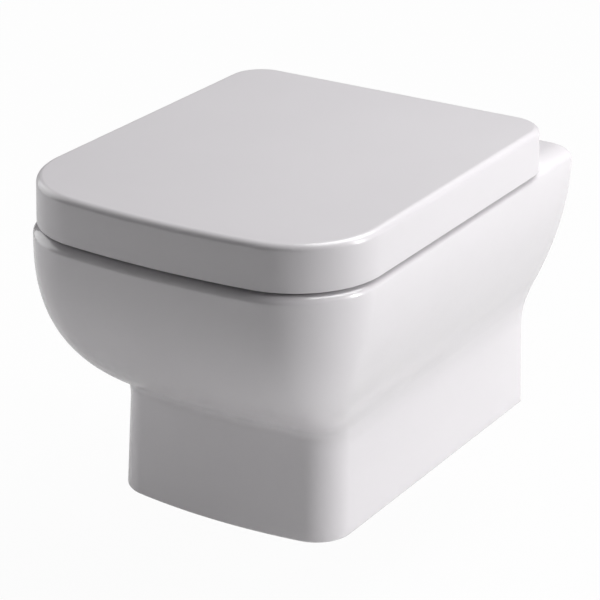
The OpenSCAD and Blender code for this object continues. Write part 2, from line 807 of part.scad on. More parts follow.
module lid() {
    function at(z, t) = ring(lid_half(t + lid_draft * (z - lid_bottom) / lid_h, lid_rear + t, lid_rear_r - t), z);
    color(seat_white)
    difference() {
        union() {
            difference() {
                loft(concat(
                    [for (i = [0 : 5]) let (a = 18 * i)
                        at(lid_top - lid_round * (1 - cos(a)), lid_round * (1 - sin(a)))],
                    [at(lid_bottom + skirt_edge, 0), at(lid_bottom, skirt_edge)]));
                loft(concat(
                    [for (i = [0 : 2]) let (a = 45 * i)
                        at(lid_under - inner_round * (1 - cos(a)), lid_wall + inner_round * (1 - sin(a)))],
                    [at(lid_bottom - over, lid_wall)]));
                difference() {
                    block(-lid_rear_w, lid_rear_w, lid_rear - over, hinge_y, lid_bottom - over, axis_z);
                    along_x(swing_r, 0, 2 * lid_rear_w + 2);
                }
                both()
                    block(notch_in, notch_out, lid_rear - over, lid_rear + lid_wall + inner_round + over,
                        lid_bottom - over, lid_under);
            }
            both()
                along_x(barrel_r, lid_knuckle_x, knuckle_w);
            both()
                block(lid_knuckle_x - knuckle_w / 2, lid_knuckle_x + knuckle_w / 2,
                    hinge_y - barrel_r + over, hinge_y + barrel_r - over, axis_z, lid_under + weld);
        }
        both()
            along_x(knuckle_bore, lid_knuckle_x, knuckle_w + 2 * over);
    }
}

// Rounding of the seat ring's edges in section and at its back corners, and its hinge arms
seat_edge_r = 7;
seat_rear_r = 24;
arm_t = 10;
arm_lap = 16;

module seat_ring() {
    side = lid_wall + lid_draft + seat_side_gap;
    function at(z, t) = ring(lid_half(side + t, seat_rear + t, seat_rear_r - t), z);
    function mouth(z, t) =
        oval(seat_mouth_w / 2 + t, seat_mouth_rear - t, seat_mouth_front + t, seat_mouth_power, z, n_bowl);
    color(seat_white)
    difference() {
        union() {
            loft(concat(
                [for (i = [0 : 4]) let (a = 22.5 * i)
                    at(seat_top - seat_edge_r * (1 - cos(a)), seat_edge_r * (1 - sin(a)))],
                [at(seat_bottom + 3, 0), at(seat_bottom + 1, 1), at(seat_bottom, 3)]));
            both()
                along_x(barrel_r, seat_knuckle_x, knuckle_w);
            both()
                block(seat_knuckle_x - knuckle_w / 2, seat_knuckle_x + knuckle_w / 2,
                    hinge_y, seat_rear + arm_lap, seat_top - arm_t, seat_top - 2 * rest_c);
        }
        loft(concat(
            [mouth(seat_top + over, seat_edge_r)],
            [for (i = [0 : 4]) let (a = 22.5 * i)
                mouth(seat_top - seat_edge_r * (1 - cos(a)), seat_edge_r * (1 - sin(a)))],
            [mouth(seat_bottom + 2, 0), mouth(seat_bottom, 2), mouth(seat_bottom - over, 2)]));
        both()
            along_x(knuckle_bore, seat_knuckle_x, knuckle_w + 2 * over);
    }
}

// Places of the feet on the middle of the flat rim: x, and two distances from the wall
seat_foot_x = mouth_w / 2 + 14;
seat_foot_ys = [mouth_rear + 50, mouth_front - 52];
lid_foot_x = seat_foot_x - 4;
lid_foot_ys = [seat_foot_ys[0] + 12, seat_foot_ys[1] - 20];
foot_edge = 1.5;

module feet(x, ys, d, z0, z1) {
    for (y = ys)
        both()
            translate([x, -y, z0])
                rotate_extrude()
                    polygon([[0, 0], [d / 2 - foot_edge, 0], [d / 2, foot_edge], [d / 2, z1 - z0], [0, z1 - z0]]);
}

module seat_feet() {
    color(rubber_grey)
    feet(seat_foot_x, seat_foot_ys, foot_d, deck_z + rest_c, seat_bottom);
}

module lid_feet() {
    color(rubber_grey)
    feet(lid_foot_x, lid_foot_ys, lid_foot_d, seat_top + rest_c, lid_under);
}

damper_out = 18;

// Damper cartridge: a sleeve round the pin in the knuckle, and its closed body beyond
module damper(x_knuckle, away) {
    color(damper_grey)
    difference() {
        union() {
            along_x(damper_d / 2, x_knuckle, knuckle_w);
            along_x(damper_d / 2, x_knuckle + away * (knuckle_w + damper_out) / 2, damper_out);
        }
        along_x(pin_d / 2 + run_c, x_knuckle, knuckle_w);
    }
}

// Plain bush round the pin in the knuckle on the side that has no damper
module bush(x_knuckle) {
    color(nylon)
    difference() {
        along_x(damper_d / 2, x_knuckle, knuckle_w);
        along_x(pin_d / 2 + run_c, x_knuckle, knuckle_w + 2 * over);
    }
}

module seat_damper() {
    damper(-seat_knuckle_x, 1);
}

module seat_bush() {
    bush(seat_knuckle_x);
}

module lid_damper() {
    damper(lid_knuckle_x, 1);
}

module lid_bush() {
    bush(-lid_knuckle_x);
}

pan();
wall_sleeves();
wall_washers();
wall_nuts();
hinge_post_left();
hinge_post_right();
hinge_covers();
hinge_gaskets();
hinge_pin_left();
hinge_pin_right();
seat_bolts();
seat_bolt_bushes();
seat_bolt_washers();
seat_wing_nuts();
seat_ring();
seat_feet();
seat_damper();
seat_bush();
lid();
lid_feet();
lid_damper();
lid_bush();
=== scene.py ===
import math

import bmesh
import bpy
import numpy as np
from mathutils import Matrix, Vector
from mathutils.bvhtree import BVHTree


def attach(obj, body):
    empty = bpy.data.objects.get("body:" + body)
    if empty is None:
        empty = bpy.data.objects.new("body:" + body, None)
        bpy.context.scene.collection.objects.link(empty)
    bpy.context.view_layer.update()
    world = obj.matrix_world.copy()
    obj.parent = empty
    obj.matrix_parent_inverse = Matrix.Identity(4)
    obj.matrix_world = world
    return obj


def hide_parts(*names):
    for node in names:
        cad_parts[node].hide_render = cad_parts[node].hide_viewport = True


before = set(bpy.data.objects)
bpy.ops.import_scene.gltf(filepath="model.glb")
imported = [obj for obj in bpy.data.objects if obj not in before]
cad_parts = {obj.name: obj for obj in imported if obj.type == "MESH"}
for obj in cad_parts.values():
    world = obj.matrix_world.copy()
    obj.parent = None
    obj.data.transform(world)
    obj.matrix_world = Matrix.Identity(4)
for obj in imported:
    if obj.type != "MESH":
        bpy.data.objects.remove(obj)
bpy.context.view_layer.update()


# The pan: one casting of vitreous china, slip cast in plaster, glazed and fired once.
# The glaze covers what is seen and washed. The back that meets the wall, the base and the
# hollow behind stay bare and matt. Lengths are in millimetres, distances from the wall positive.

deck, pan_h, pan_length = 90.0, 295.0, 499.0
base = deck - pan_h
rear_w, front_w, edge_w, edge_h = 342.8, 361.0, 24.0, 10.8
lower_w, lower_front, lower_flare, lower_corner, lower_bow = 242.2, 395.0, 4.2, 39.0, 13
corner_gain, bow_gain, least_corner = 52, 4.5, 8
side_power, front_power, corner_power = 1.87, 2.8, 1.42
belly_start, crease, blend, skin, wall_r = 12.0, 181.0, 15.0, 11.0, 2.0


def belly(d, power):
    """Share of the bowl's extra size that is left at a depth under the deck."""
    return 1.0 if d <= belly_start else 1 - ((d - belly_start) / (crease - belly_start)) ** power


def soft_max(a, b):
    """The larger of two lengths, with a rounded change from one to the other."""
    return max(a, b) + max(blend - abs(a - b), 0) ** 2 / (4 * blend)


def outline(half_rear, half_front, rear, front, corner_r, bow, rear_r=0.0):
    """Plan of the pan, seat or lid, clockwise from above: rounded corners and a bowed front."""
    big_r = (half_front ** 2 + bow ** 2) / (2 * bow)
    big_y = front - big_r
    cx = half_front - corner_r
    cy = big_y + math.sqrt((big_r - corner_r) ** 2 - cx * cx)
    turn = math.atan2(cy - big_y, cx)
    y0 = rear + rear_r
    half = []
    if rear_r > 0:
        half += [(half_front - rear_r + rear_r * math.cos(t), y0 + rear_r * math.sin(t))
                 for t in np.linspace(-math.pi / 2, 0, 16, endpoint=False)]
    half += [(half_front, y) for y in np.linspace(y0, cy, 16, endpoint=False)]
    half += [(cx + corner_r * math.cos(t), cy + corner_r * math.sin(t))
             for t in np.linspace(0, turn, 40, endpoint=False)]
    half += [(big_r * math.cos(t), big_y + big_r * math.sin(t))
             for t in np.linspace(turn, math.pi / 2, 24)]
    half = np.array(half)
    widening = (half_front - half_rear) * (half[:, 1] - rear) / (front - rear)
    half[:, 0] *= (half_rear + widening) / half_front
    half[-1, 0] = 0
    return np.vstack([half, (half * [-1, 1])[-2::-1]])


def skin_plan(d, t, rear, rear_r=0.0):
    """Plan of the pan's skin at a depth under the deck, moved inwards by t."""
    e = t + (edge_w * (1 - math.sqrt(1 - ((edge_h - d) / edge_h) ** 2)) if d < edge_h else 0)
    flare = lower_flare * max(0, (d - crease) / (pan_h - crease))
    lower = lower_w / 2 + flare
    half_wall = soft_max(lower + (rear_w / 2 - lower_w / 2) * belly(d, side_power), lower)
    half_front = soft_max(lower + (front_w / 2 - lower_w / 2) * belly(d, side_power), lower)
    front = lower_front + flare
    front = soft_max(front + (pan_length - lower_front) * belly(d, front_power), front)
    rounder = max(0, belly(d, corner_power))
    return outline(half_wall - e, half_front - e, rear, front - e,
                   max(lower_corner + corner_gain * rounder - e, least_corner),
                   lower_bow + bow_gain * rounder, rear_r)


def at_height(plan, z):
    return np.column_stack([plan[:, 0], -plan[:, 1], np.full(len(plan), z)])


def piece_from(name, points, faces):
    """A mesh object in metres from points in millimetres, its faces turned outwards."""
    mesh = bpy.data.meshes.new(name)
    mesh.from_pydata((np.asarray(points) * 0.001).tolist(), [], faces)
    work = bmesh.new()
    work.from_mesh(mesh)
    bmesh.ops.recalc_face_normals(work, faces=work.faces)
    work.to_mesh(mesh)
    work.free()
    piece = bpy.data.objects.new(name, mesh)
    bpy.context.scene.collection.objects.link(piece)
    return piece


def stacked(name, rings):
    """A closed solid through rings of as many points each."""
    n, m = len(rings[0]), len(rings)
    faces = [(k * n + i, (k + 1) * n + i, (k + 1) * n + (i + 1) % n, k * n + (i + 1) % n)
             for k in range(m - 1) for i in range(n)]
    faces += [tuple(range(n)), tuple(range((m - 1) * n, m * n))]
    return piece_from(name, np.vstack(rings), faces)


def quarter(steps):
    return np.linspace(0, math.pi / 2, steps)


base_r, above_crease, below_crease = 2.5, 142, 212
depths = list(edge_h * (1 - np.cos(np.linspace(0.02, math.pi / 2, 22))))
depths += list(np.linspace(edge_h, above_crease, 60)[1:])
depths += list(np.linspace(above_crease, below_crease, 64)[1:])
depths += list(np.linspace(below_crease, pan_h - base_r, 12)[1:])
rings = [at_height(skin_plan(d, 0, 0, wall_r), deck - d) for d in depths]
rings[0][:, 2] = deck
rings += [at_height(skin_plan(pan_h - base_r, base_r * (1 - math.cos(t)), 0, wall_r),
                    base + base_r * (1 - math.sin(t))) for t in quarter(7)[1:]]
pan = stacked("pan_china", rings)

# The bowl under the rim, with its sump. The rim hangs over by the width of the water channel.
mouth_half, mouth_rear, mouth_front, mouth_power = 125.0, 150.0, 444.0, 3.4
rim_under, channel_w, lip, under_lip = deck - 40, 20, 6.0, 2.5
sump_mid, sump_r, sump_floor, sump_corner = 262.0, 47.0, base + 13, 20
sump_top = sump_floor + 50


def oval(half_width, rear, front, power, sides=200):
    """Squared ellipse for the mouth, the bowl and the seat's opening, clockwise from above."""
    t = math.pi / 2 - 2 * math.pi * np.arange(sides) / sides
    c, s = np.cos(t), np.sin(t)
    x = half_width * np.sign(c) * np.abs(c) ** (2 / power)
    y = (rear + front) / 2 - (front - rear) / 2 * np.sign(s) * np.abs(s) ** (2 / power)
    return np.stack([x, y], 1)


def mouth(e, z):
    return at_height(oval(mouth_half + e, mouth_rear - e, mouth_front + e, mouth_power), z)


def bowl_rings(t):
    """Sections of the bowl from under the rim down to the sump's floor, moved outwards by t."""
    made = []
    for s in np.linspace(0, 1, 60):
        k, k_back = 1 - s ** 1.9, 1 - s ** 1.15
        back = sump_mid - sump_r - (sump_mid - sump_r - mouth_rear + channel_w) * k_back
        front = sump_mid + sump_r + (mouth_front + channel_w - sump_mid - sump_r) * k
        half_width = sump_r + (mouth_half + channel_w - sump_r) * k
        made.append(at_height(oval(half_width + t, back - t, front + t, 2 + (mouth_power - 2) * k),
                              rim_under + (sump_top - rim_under) * s))
    for a in quarter(20)[1:]:
        r = sump_r - sump_corner * (1 - math.cos(a))
        made.append(at_height(oval(r + t, sump_mid - r - t, sump_mid + r + t, 2),
                              sump_top + (sump_floor - t - sump_top) * math.sin(a)))
    return made


bowl_space = [mouth(lip, deck + 1)]
bowl_space += [mouth(lip * (1 - math.sin(a)), deck - lip * (1 - math.cos(a)))
               for a in quarter(13)[1:]]
bowl_space.append(mouth(0, rim_under + under_lip))
bowl_space += [mouth(under_lip * (1 - math.cos(a)),
                     rim_under + under_lip * (1 - math.sin(a)) + 0.02) for a in quarter(6)[1:]]
bowl_space = stacked("bowl_space", bowl_space + bowl_rings(0))

# The trap: from the sump it climbs, turns over a crest and falls into the waste outlet.
inlet_z, outlet_z, socket_end = 35.0, -100.0, 70
trap_r, bend_r, lean, fall = 27.0, 44.0, math.radians(66), math.radians(36)
low_z, crest_z, leg_y = sump_floor + trap_r, outlet_z + 38, sump_mid - sump_r - 4
leg_run = (crest_z - low_z - 2 * bend_r * (1 - math.cos(lean))) / math.tan(lean)
crest_y = leg_y - 2 * bend_r * math.sin(lean) - leg_run
trap_line = [(sump_mid + 5.3, low_z)]
trap_line += [(leg_y - bend_r * math.sin(a), low_z + bend_r * (1 - math.cos(a)))
              for a in np.linspace(0, lean, 20)]
trap_line += [(crest_y + bend_r * math.sin(a), crest_z - bend_r * (1 - math.cos(a)))
              for a in np.linspace(lean, -fall, 28)]
trap_line = np.array(trap_line + [(26, outlet_z - 10)])
trap_turn = np.gradient(trap_line, axis=0)
trap_turn /= np.linalg.norm(trap_turn, axis=1)[:, None]
trap_side = np.stack([-trap_turn[:, 1], trap_turn[:, 0]], 1)


def tube_along(name, r, first=0, end_r=None, sides=48):
    """A round tube along the trap's line, with another radius at its outlet where one is given."""
    t = 2 * np.pi * (np.arange(sides) + 0.5) / sides
    made = []
    for k in range(first, len(trap_line)):
        p, q = trap_line[k], trap_side[k]
        here = end_r if end_r and k == len(trap_line) - 1 else r
        made.append(np.stack([np.cos(t) * here, -(p[0] + q[0] * np.sin(t) * here),
                              p[1] + q[1] * np.sin(t) * here], 1))
    return stacked(name, made)


def settle(piece):
    """Makes the piece's modifiers part of its mesh."""
    found = bpy.context.evaluated_depsgraph_get()
    mesh = bpy.data.meshes.new_from_object(piece.evaluated_get(found))
    mesh.materials.clear()
    piece.modifiers.clear()
    old, piece.data = piece.data, mesh
    bpy.data.meshes.remove(old)


def worked(piece, operation, *tools):
    """Joins tools to the piece or cuts them out of it, and removes the tools."""
    for tool in tools:
        step = piece.modifiers.new("step", "BOOLEAN")
        step.operation = operation
        step.solver = "MANIFOLD"
        step.object = tool
    settle(piece)
    for tool in tools:
        bpy.data.objects.remove(tool)
    return piece


def turned(name, profile, centre=(0, 0, 0), axis="z", sides=64):
    """A lathe shape from a closed profile of (radius, height), along an axis of the frame."""
    points, rings, faces = [], [], []
    for r, h in profile:
        if r < 1e-6:
            rings.append([len(points)])
            points.append((0, 0, h))
        else:
            rings.append(list(range(len(points), len(points) + sides)))
            points += [(r * math.cos(t), r * math.sin(t), h)
                       for t in [2 * math.pi * i / sides for i in range(sides)]]
    for a, b in zip(rings, rings[1:] + rings[:1]):
        for i in range(sides):
            j = (i + 1) % sides
            if len(a) > 1 and len(b) > 1:
                faces.append((a[i], a[j], b[j], b[i]))
            elif len(b) > 1:
                faces.append((a[0], b[j], b[i]))
            elif len(a) > 1:
                faces.append((a[i], a[j], b[0]))
    points = np.array(points, float)
    if axis == "y":
        points = points[:, [0, 2, 1]] * [1, -1, 1]
    elif axis == "x":
        points = points[:, [2, 0, 1]]
    return piece_from(name, points + np.array(centre, float), faces)


def plate(name, corners, low, high, edge, place):
    """A flat shape with rounded edges between two levels. place turns (u, v, level) to x, y, z."""
    corners = np.array(corners, float)
    after, before = np.roll(corners, -1, 0) - corners, corners - np.roll(corners, 1, 0)
    after /= np.linalg.norm(after, axis=1)[:, None]
    before /= np.linalg.norm(before, axis=1)[:, None]
    u, v = corners[:, 0], corners[:, 1]
    side = 1 if np.sum(u * np.roll(v, -1) - np.roll(u, -1) * v) > 0 else -1
    inward = np.stack([-(after + before)[:, 1], (after + before)[:, 0]], 1) * side
    across = np.sum(inward * np.stack([-after[:, 1], after[:, 0]], 1) * side, 1)
    inward /= np.maximum(across, 0.3)[:, None]
    rings = []
    for t in quarter(5):
        rings.append((edge * (1 - math.sin(t)), low + edge * (1 - math.cos(t))))
    for t in np.linspace(math.pi / 2, 0, 5):
        rings.append((edge * (1 - math.sin(t)), high - edge * (1 - math.cos(t))))
    return stacked(name, [np.array([place(u, v, level) for u, v in corners + inward * inset])
                          for inset, level in rings])


def box_between(name, x0, x1, back, front, z0, z1):
    corners = [(x, -y, z) for z in (z1, z0)
               for x, y in ((x1, back), (x1, front), (x0, front), (x0, back))]
    return stacked(name, [np.array(corners[:4], float), np.array(corners[4:], float)])


# The hollow behind and under the bowl is made as a solid of its own, so that its inner corners
# can be rounded all at once, as slip rounds them in the mould. First the bowl's back, the trap's
# wall, the sockets, the flush chamber and the lugs are cut out of it.
past_wall, past_base, deck_half, deck_under = -14, 14, rear_w / 2 - skin - 1, deck - 12
lug_in, lug_out, lug_half, lug_t, web_t = 60, 175, 29, 18, 12
chamber_half, chamber_back, chamber_front, chamber_low, chamber_wall = 36, 66, 120, 13.5, 9
hollow_depths = list(np.linspace(48, 144, 22)) + list(np.linspace(144, below_crease, 20)[1:])
hollow_depths += [pan_h, pan_h + past_base]
hollow = stacked("hollow", [at_height(skin_plan(min(d, pan_h), skin, past_wall), deck - d)
                            for d in hollow_depths])
worked(hollow, "UNION",
       box_between("behind_deck", -deck_half, deck_half, past_wall, 108, 40, deck_under))
casing = tube_along("casing", trap_r + 9, first=1)
worked(casing, "DIFFERENCE", box_between("past_collar", -60, 60, -10, 54, -220, 20))
saddle_line = [tuple(p) for p in trap_line[:-1] + trap_side[:-1] * 30]
saddle_line += [(70, -40), (108, crest_z + 34), (188, crest_z + 34), (sump_mid, sump_top)]
spigot_r, collar_r, inlet_wall_r = 51, 57, 36.5
inside = [stacked("bowl_back", bowl_rings(10)), casing,
          plate("saddle", saddle_line, -24, 24, 0.5, lambda u, v, w: (w, -u, v)),
          turned("spigot", [(0, 6), (spigot_r, 6), (spigot_r, socket_end), (0, socket_end)],
                 (0, 0, outlet_z), "y", 96),
          turned("collar", [(0, 52), (collar_r, 52), (collar_r, 66), (0, 66)],
                 (0, 0, outlet_z), "y", 96),
          turned("inlet", [(0, 6), (inlet_wall_r, 6), (inlet_wall_r, socket_end), (0, socket_end)],
                 (0, 0, inlet_z), "y", 96),
          box_between("chamber_walls", -chamber_half - chamber_wall, chamber_half + chamber_wall,
                      chamber_back - chamber_wall, chamber_front + 14, chamber_low - chamber_wall,
                      deck)]
for side in (-1, 1):
    inside.append(box_between("lug", *sorted((side * lug_in, side * lug_out)), -20, lug_t,
                              -lug_half, lug_half))
    inside.append(box_between("web", *sorted((side * lug_in, side * (lug_in + web_t))), -20, 46,
                              -lug_half, deck))
worked(hollow, "DIFFERENCE", *inside)
even = hollow.modifiers.new("even", "REMESH")
even.mode = "VOXEL"
even.voxel_size = 0.0026
even.adaptivity = 0.0
soften = hollow.modifiers.new("soften", "SMOOTH")
soften.factor = 0.5
soften.iterations = 8
settle(hollow)
bare = BVHTree.FromObject(hollow, bpy.context.evaluated_depsgraph_get())


def softened(corners, radius, steps=5):
    """A profile with each corner off the axis rounded to a radius, or to what its sides allow."""
    corners = [np.array(c, float) for c in corners]
    made = []
    for i, here in enumerate(corners):
        before, after = corners[i - 1], corners[(i + 1) % len(corners)]
        a, b = before - here, after - here
        la, lb = np.linalg.norm(a), np.linalg.norm(b)
        if here[0] < 1e-6 or la < 1e-6 or lb < 1e-6:
            made.append(tuple(here))
            continue
        a, b = a / la, b / lb
        bend = math.acos(max(-1, min(1, float(a @ b))))
        if bend > math.radians(176):
            made.append(tuple(here))
            continue
        reach = min(radius / math.tan(bend / 2), 0.45 * la, 0.45 * lb)
        r = reach * math.tan(bend / 2)
        middle = here + (a + b) / np.linalg.norm(a + b) * r / math.sin(bend / 2)
        start, end = here + a * reach - middle, here + b * reach - middle
        for k in range(steps + 1):
            mix = start * (1 - k / steps) + end * k / steps
            made.append(tuple(middle + mix / np.linalg.norm(mix) * r))
    return made


# Waste bore, flush inlet with its chamber, bolt holes and the jets under the rim.
bolt_x, post_x, bolt_y = 90, 77.5, 86.0
waste_r, inlet_r, jet_count, jet_out = 43, 27.5, 22, 14
mouth_mid, mouth_reach = (mouth_rear + mouth_front) / 2, (mouth_front - mouth_rear) / 2
waste_profile = [(0, -2), (waste_r + 4, -2), (waste_r, 8.5), (waste_r, 46), (0, 46)]
inlet_profile = [(0, -2), (inlet_r + 4, -2), (inlet_r, 8), (inlet_r, 44), (22.5, 44), (22.5, 68),
                 (0, 68)]
cuts = [bowl_space, tube_along("trap", trap_r, end_r=29.7),
        turned("outlet_bore", softened(waste_profile, 1.5), (0, 0, outlet_z), "y", 96),
        turned("inlet_bore", softened(inlet_profile, 1), (0, 0, inlet_z), "y", 96),
        box_between("chamber", -chamber_half, chamber_half, chamber_back, chamber_front,
                    chamber_low, deck - 11)]
for side in (-1, 1):
    cuts.append(turned("lug_hole", [(0, -1), (12.4, -1), (12.4, 0), (11, 1.4), (11, 16.8),
                                    (12.4, 18.2), (12.4, 25), (0, 25)],
                       (side * bolt_x, 0, 0), "y", 64))
    cuts.append(turned("seat_bolt_hole", [(0, 76), (8.7, 76), (8.7, 78), (7.5, 79.2), (7.5, 88.2),
                                          (9.2, deck), (9.2, 92), (0, 92)],
                       (side * post_x, -bolt_y, 0), "z", 48))
for i in range(jet_count):
    t = 2 * math.pi * (i + 0.5) / jet_count
    c, s = math.cos(t), math.sin(t)
    jet_x = (mouth_half + jet_out) * math.copysign(abs(c) ** (2 / mouth_power), c)
    jet_y = (mouth_reach + jet_out) * math.copysign(abs(s) ** (2 / mouth_power), s)
    cuts.append(turned("jet", [(0, 49), (3.3, 49), (2.5, 51), (2.5, 61), (0, 61)],
                       (jet_x, -mouth_mid - jet_y, 0), "z", 20))
worked(pan, "DIFFERENCE", hollow)
worked(pan, "DIFFERENCE", *cuts)


def linear(hex_colour):
    parts = [int(hex_colour[i:i + 2], 16) / 255 for i in (1, 3, 5)]
    return [c / 12.92 if c <= 0.04045 else ((c + 0.055) / 1.055) ** 2.4 for c in parts] + [1.0]


def add(tree, kind, inputs=None, **settings):
    """Adds a node, sets its fields, and sets or links its inputs."""
    made = tree.nodes.new(kind)
    for name, value in settings.items():
        setattr(made, name, value)
    for name, value in (inputs or {}).items():
        if isinstance(value, bpy.types.NodeSocket):
            tree.links.new(value, made.inputs[name])
        else:
            made.inputs[name].default_value = value
    return made


def finish_named(name):
    """An empty material with its node tree, and the object's own coordinates in metres."""
    finish = bpy.data.materials.new(name)
    finish.use_nodes = True
    finish.node_tree.nodes.clear()
    place = add(finish.node_tree, "ShaderNodeTexCoord").outputs["Object"]
    return finish, finish.node_tree, place


# Glaze: a clear coat with a faint cool cast over a white body. It lies in very shallow waves
# about 20 mm long and holds a few pin holes. Its colour carries painted shade: it is painted
# darker in the corners and slits, deepest in the seam under the lid.
glaze, tree, place = finish_named("vitreous_china_glazed")
waves = add(tree, "ShaderNodeTexNoise", {"Vector": place, "Scale": 1 / 0.020, "Detail": 1.0})
fine = add(tree, "ShaderNodeTexNoise", {"Vector": place, "Scale": 1 / 0.0022, "Detail": 2.0})
pins = add(tree, "ShaderNodeTexVoronoi", {"Vector": place, "Scale": 1 / 0.009}, feature="F1")
pin_dip = add(tree, "ShaderNodeMapRange", {
    "Value": pins.outputs["Distance"], "From Min": 0.0, "From Max": 0.035,
    "To Min": 0.0, "To Max": 1.0}, interpolation_type="SMOOTHSTEP")
depth = add(tree, "ShaderNodeTexNoise", {"Vector": place, "Scale": 1 / 0.16, "Detail": 2.0})
# Painted shade: occlusion within 10 mm turns the glaze's colour towards dark grey in corners, slits and
# the seam under the lid.
crease_occlusion_shade = add(tree, "ShaderNodeAmbientOcclusion", {"Distance": 0.010}, samples=8)
body_tint = add(tree, "ShaderNodeMix", {
    "Factor": depth.outputs["Fac"], "A": linear("#E8E5E8"), "B": linear("#ECE9EC")}, data_type="RGBA")
glaze_with_painted_shade = add(tree, "ShaderNodeMix", {
    "Factor": crease_occlusion_shade.outputs["AO"], "A": linear("#9A979B"),
    "B": body_tint.outputs["Result"]}, data_type="RGBA")
wavy = add(tree, "ShaderNodeBump", {
    "Height": waves.outputs["Fac"], "Distance": 0.00006, "Strength": 1.0})
grainy = add(tree, "ShaderNodeBump", {
    "Height": fine.outputs["Fac"], "Distance": 0.0000025, "Normal": wavy.outputs["Normal"]})
pinned = add(tree, "ShaderNodeBump", {
    "Height": pin_dip.outputs["Result"], "Distance": 0.00002, "Normal": grainy.outputs["Normal"]})
gloss = add(tree, "ShaderNodeMapRange", {"Value": fine.outputs["Fac"], "To Min": 0.18, "To Max": 0.26})
coat = add(tree, "ShaderNodeBsdfPrincipled", {
    "Base Color": glaze_with_painted_shade.outputs["Result"], "Roughness": gloss.outputs["Result"], "IOR": 1.5,
    "Coat Weight": 0.5, "Coat Roughness": 0.1, "Coat IOR": 1.5, "Subsurface Weight": 0.08,
    "Subsurface Radius": (0.004, 0.004, 0.004), "Subsurface Scale": 1.0,
    "Normal": pinned.outputs["Normal"], "Coat Normal": wavy.outputs["Normal"]})
add(tree, "ShaderNodeOutputMaterial", {"Surface": coat.outputs["BSDF"]})

# Bare fired china: off white and matt, with faint cloudy patches, and slight runs down the hollow
# from where the slip was poured out. The grain of the plaster mould is drawn half a millimetre
# wide, coarser than it is, so that it shows.
bisque, tree, place = finish_named("vitreous_china_unglazed")
stretched = add(tree, "ShaderNodeMapping", {
    "Vector": place, "Scale": (1 / 0.011, 1 / 0.011, 1 / 0.09)})
runs = add(tree, "ShaderNodeTexNoise", {
    "Vector": stretched.outputs["Vector"], "Scale": 1.0, "Detail": 2.0})
cloud = add(tree, "ShaderNodeTexNoise", {"Vector": place, "Scale": 1 / 0.05, "Detail": 4.0})
grain = add(tree, "ShaderNodeTexNoise", {"Vector": place, "Scale": 1 / 0.0005, "Detail": 3.0})
tint = add(tree, "ShaderNodeMix", {
    "Factor": cloud.outputs["Fac"], "A": linear("#DFDBD2"), "B": linear("#EBE8E1")}, data_type="RGBA")
ran = add(tree, "ShaderNodeBump", {"Height": runs.outputs["Fac"], "Distance": 0.0003})
rough = add(tree, "ShaderNodeBump", {
    "Height": grain.outputs["Fac"], "Distance": 0.00003, "Normal": ran.outputs["Normal"]})
matt = add(tree, "ShaderNodeMapRange", {"Value": cloud.outputs["Fac"], "To Min": 0.7, "To Max": 0.9})
bare_body = add(tree, "ShaderNodeBsdfPrincipled", {
    "Base Color": tint.outputs["Result"], "Roughness": matt.outputs["Result"], "IOR": 1.5,
    "Normal": rough.outputs["Normal"]})
add(tree, "ShaderNodeOutputMaterial", {"Surface": bare_body.outputs["BSDF"]})


def placed(piece, body, node, finish, degrees=32):
    """Gives a piece its finish and its smooth faces, hides the CAD node it stands for, and hangs it on
    its body.
    """
    for face in piece.data.polygons:
        face.use_smooth = True
    piece.data.set_sharp_from_angle(angle=math.radians(degrees))
    if finish:
        piece.data.materials.append(finish)
    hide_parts(node)
    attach(piece, body)


pan.data.materials.append(glaze)
pan.data.materials.append(bisque)
near = 0.0004
for face in pan.data.polygons:
    hit = bare.find_nearest(face.center, near / 2)
    at_back = face.normal.y > 0.98 and face.center.y > -near
    at_base = face.normal.z < -0.98 and face.center.z < base * 0.001 + near
    face.material_index = 1 if hit[0] is not None or at_back or at_base else 0
placed(pan, "pan", "pan", None, 38)


# Wall fixing: two moulded nylon sleeves keep the wall's bolts off the china, and a stainless
# washer and nut on each clamp the lug to the wall.

# Nylon, moulded: creamy white and half matt from the spark-eroded mould, a little see-through.
# The mould's grain is drawn 0.4 mm wide, coarser than it is, so that it shows.
nylon, tree, place = finish_named("nylon_moulded")
flow = add(tree, "ShaderNodeTexNoise", {"Vector": place, "Scale": 1 / 0.006, "Detail": 3.0})
spark = add(tree, "ShaderNodeTexNoise", {"Vector": place, "Scale": 1 / 0.0004, "Detail": 1.0})
tint = add(tree, "ShaderNodeMix", {
    "Factor": flow.outputs["Fac"], "A": linear("#DFDBCF"), "B": linear("#E9E6DD")}, data_type="RGBA")
eroded = add(tree, "ShaderNodeBump", {"Height": spark.outputs["Fac"], "Distance": 0.000012})
dull = add(tree, "ShaderNodeMapRange", {"Value": flow.outputs["Fac"], "To Min": 0.38, "To Max": 0.5})
shell = add(tree, "ShaderNodeBsdfPrincipled", {
    "Base Color": tint.outputs["Result"], "Roughness": dull.outputs["Result"], "IOR": 1.53,
    "Subsurface Weight": 0.15, "Subsurface Radius": (0.003, 0.003, 0.002),
    "Normal": eroded.outputs["Normal"]})
add(tree, "ShaderNodeOutputMaterial", {"Surface": shell.outputs["BSDF"]})

# Stainless steel, turned or rolled: fine scratches that run one way and break up the reflection,
# drawn 0.3 mm wide, coarser than they are, so that they show.
stainless, tree, place = finish_named("stainless_steel_turned")
drawn = add(tree, "ShaderNodeMapping", {
    "Vector": place, "Scale": (1 / 0.004, 1 / 0.0003, 1 / 0.0003)})
lines = add(tree, "ShaderNodeTexNoise", {
    "Vector": drawn.outputs["Vector"], "Scale": 1.0, "Detail": 3.0})
smear = add(tree, "ShaderNodeTexNoise", {"Vector": place, "Scale": 1 / 0.005, "Detail": 2.0})
tint = add(tree, "ShaderNodeMix", {
    "Factor": smear.outputs["Fac"], "A": linear("#BEBFC1"), "B": linear("#D0D1D3")}, data_type="RGBA")
scored = add(tree, "ShaderNodeBump", {"Height": lines.outputs["Fac"], "Distance": 0.000006})
sheen = add(tree, "ShaderNodeMapRange", {"Value": lines.outputs["Fac"], "To Min": 0.2, "To Max": 0.38})
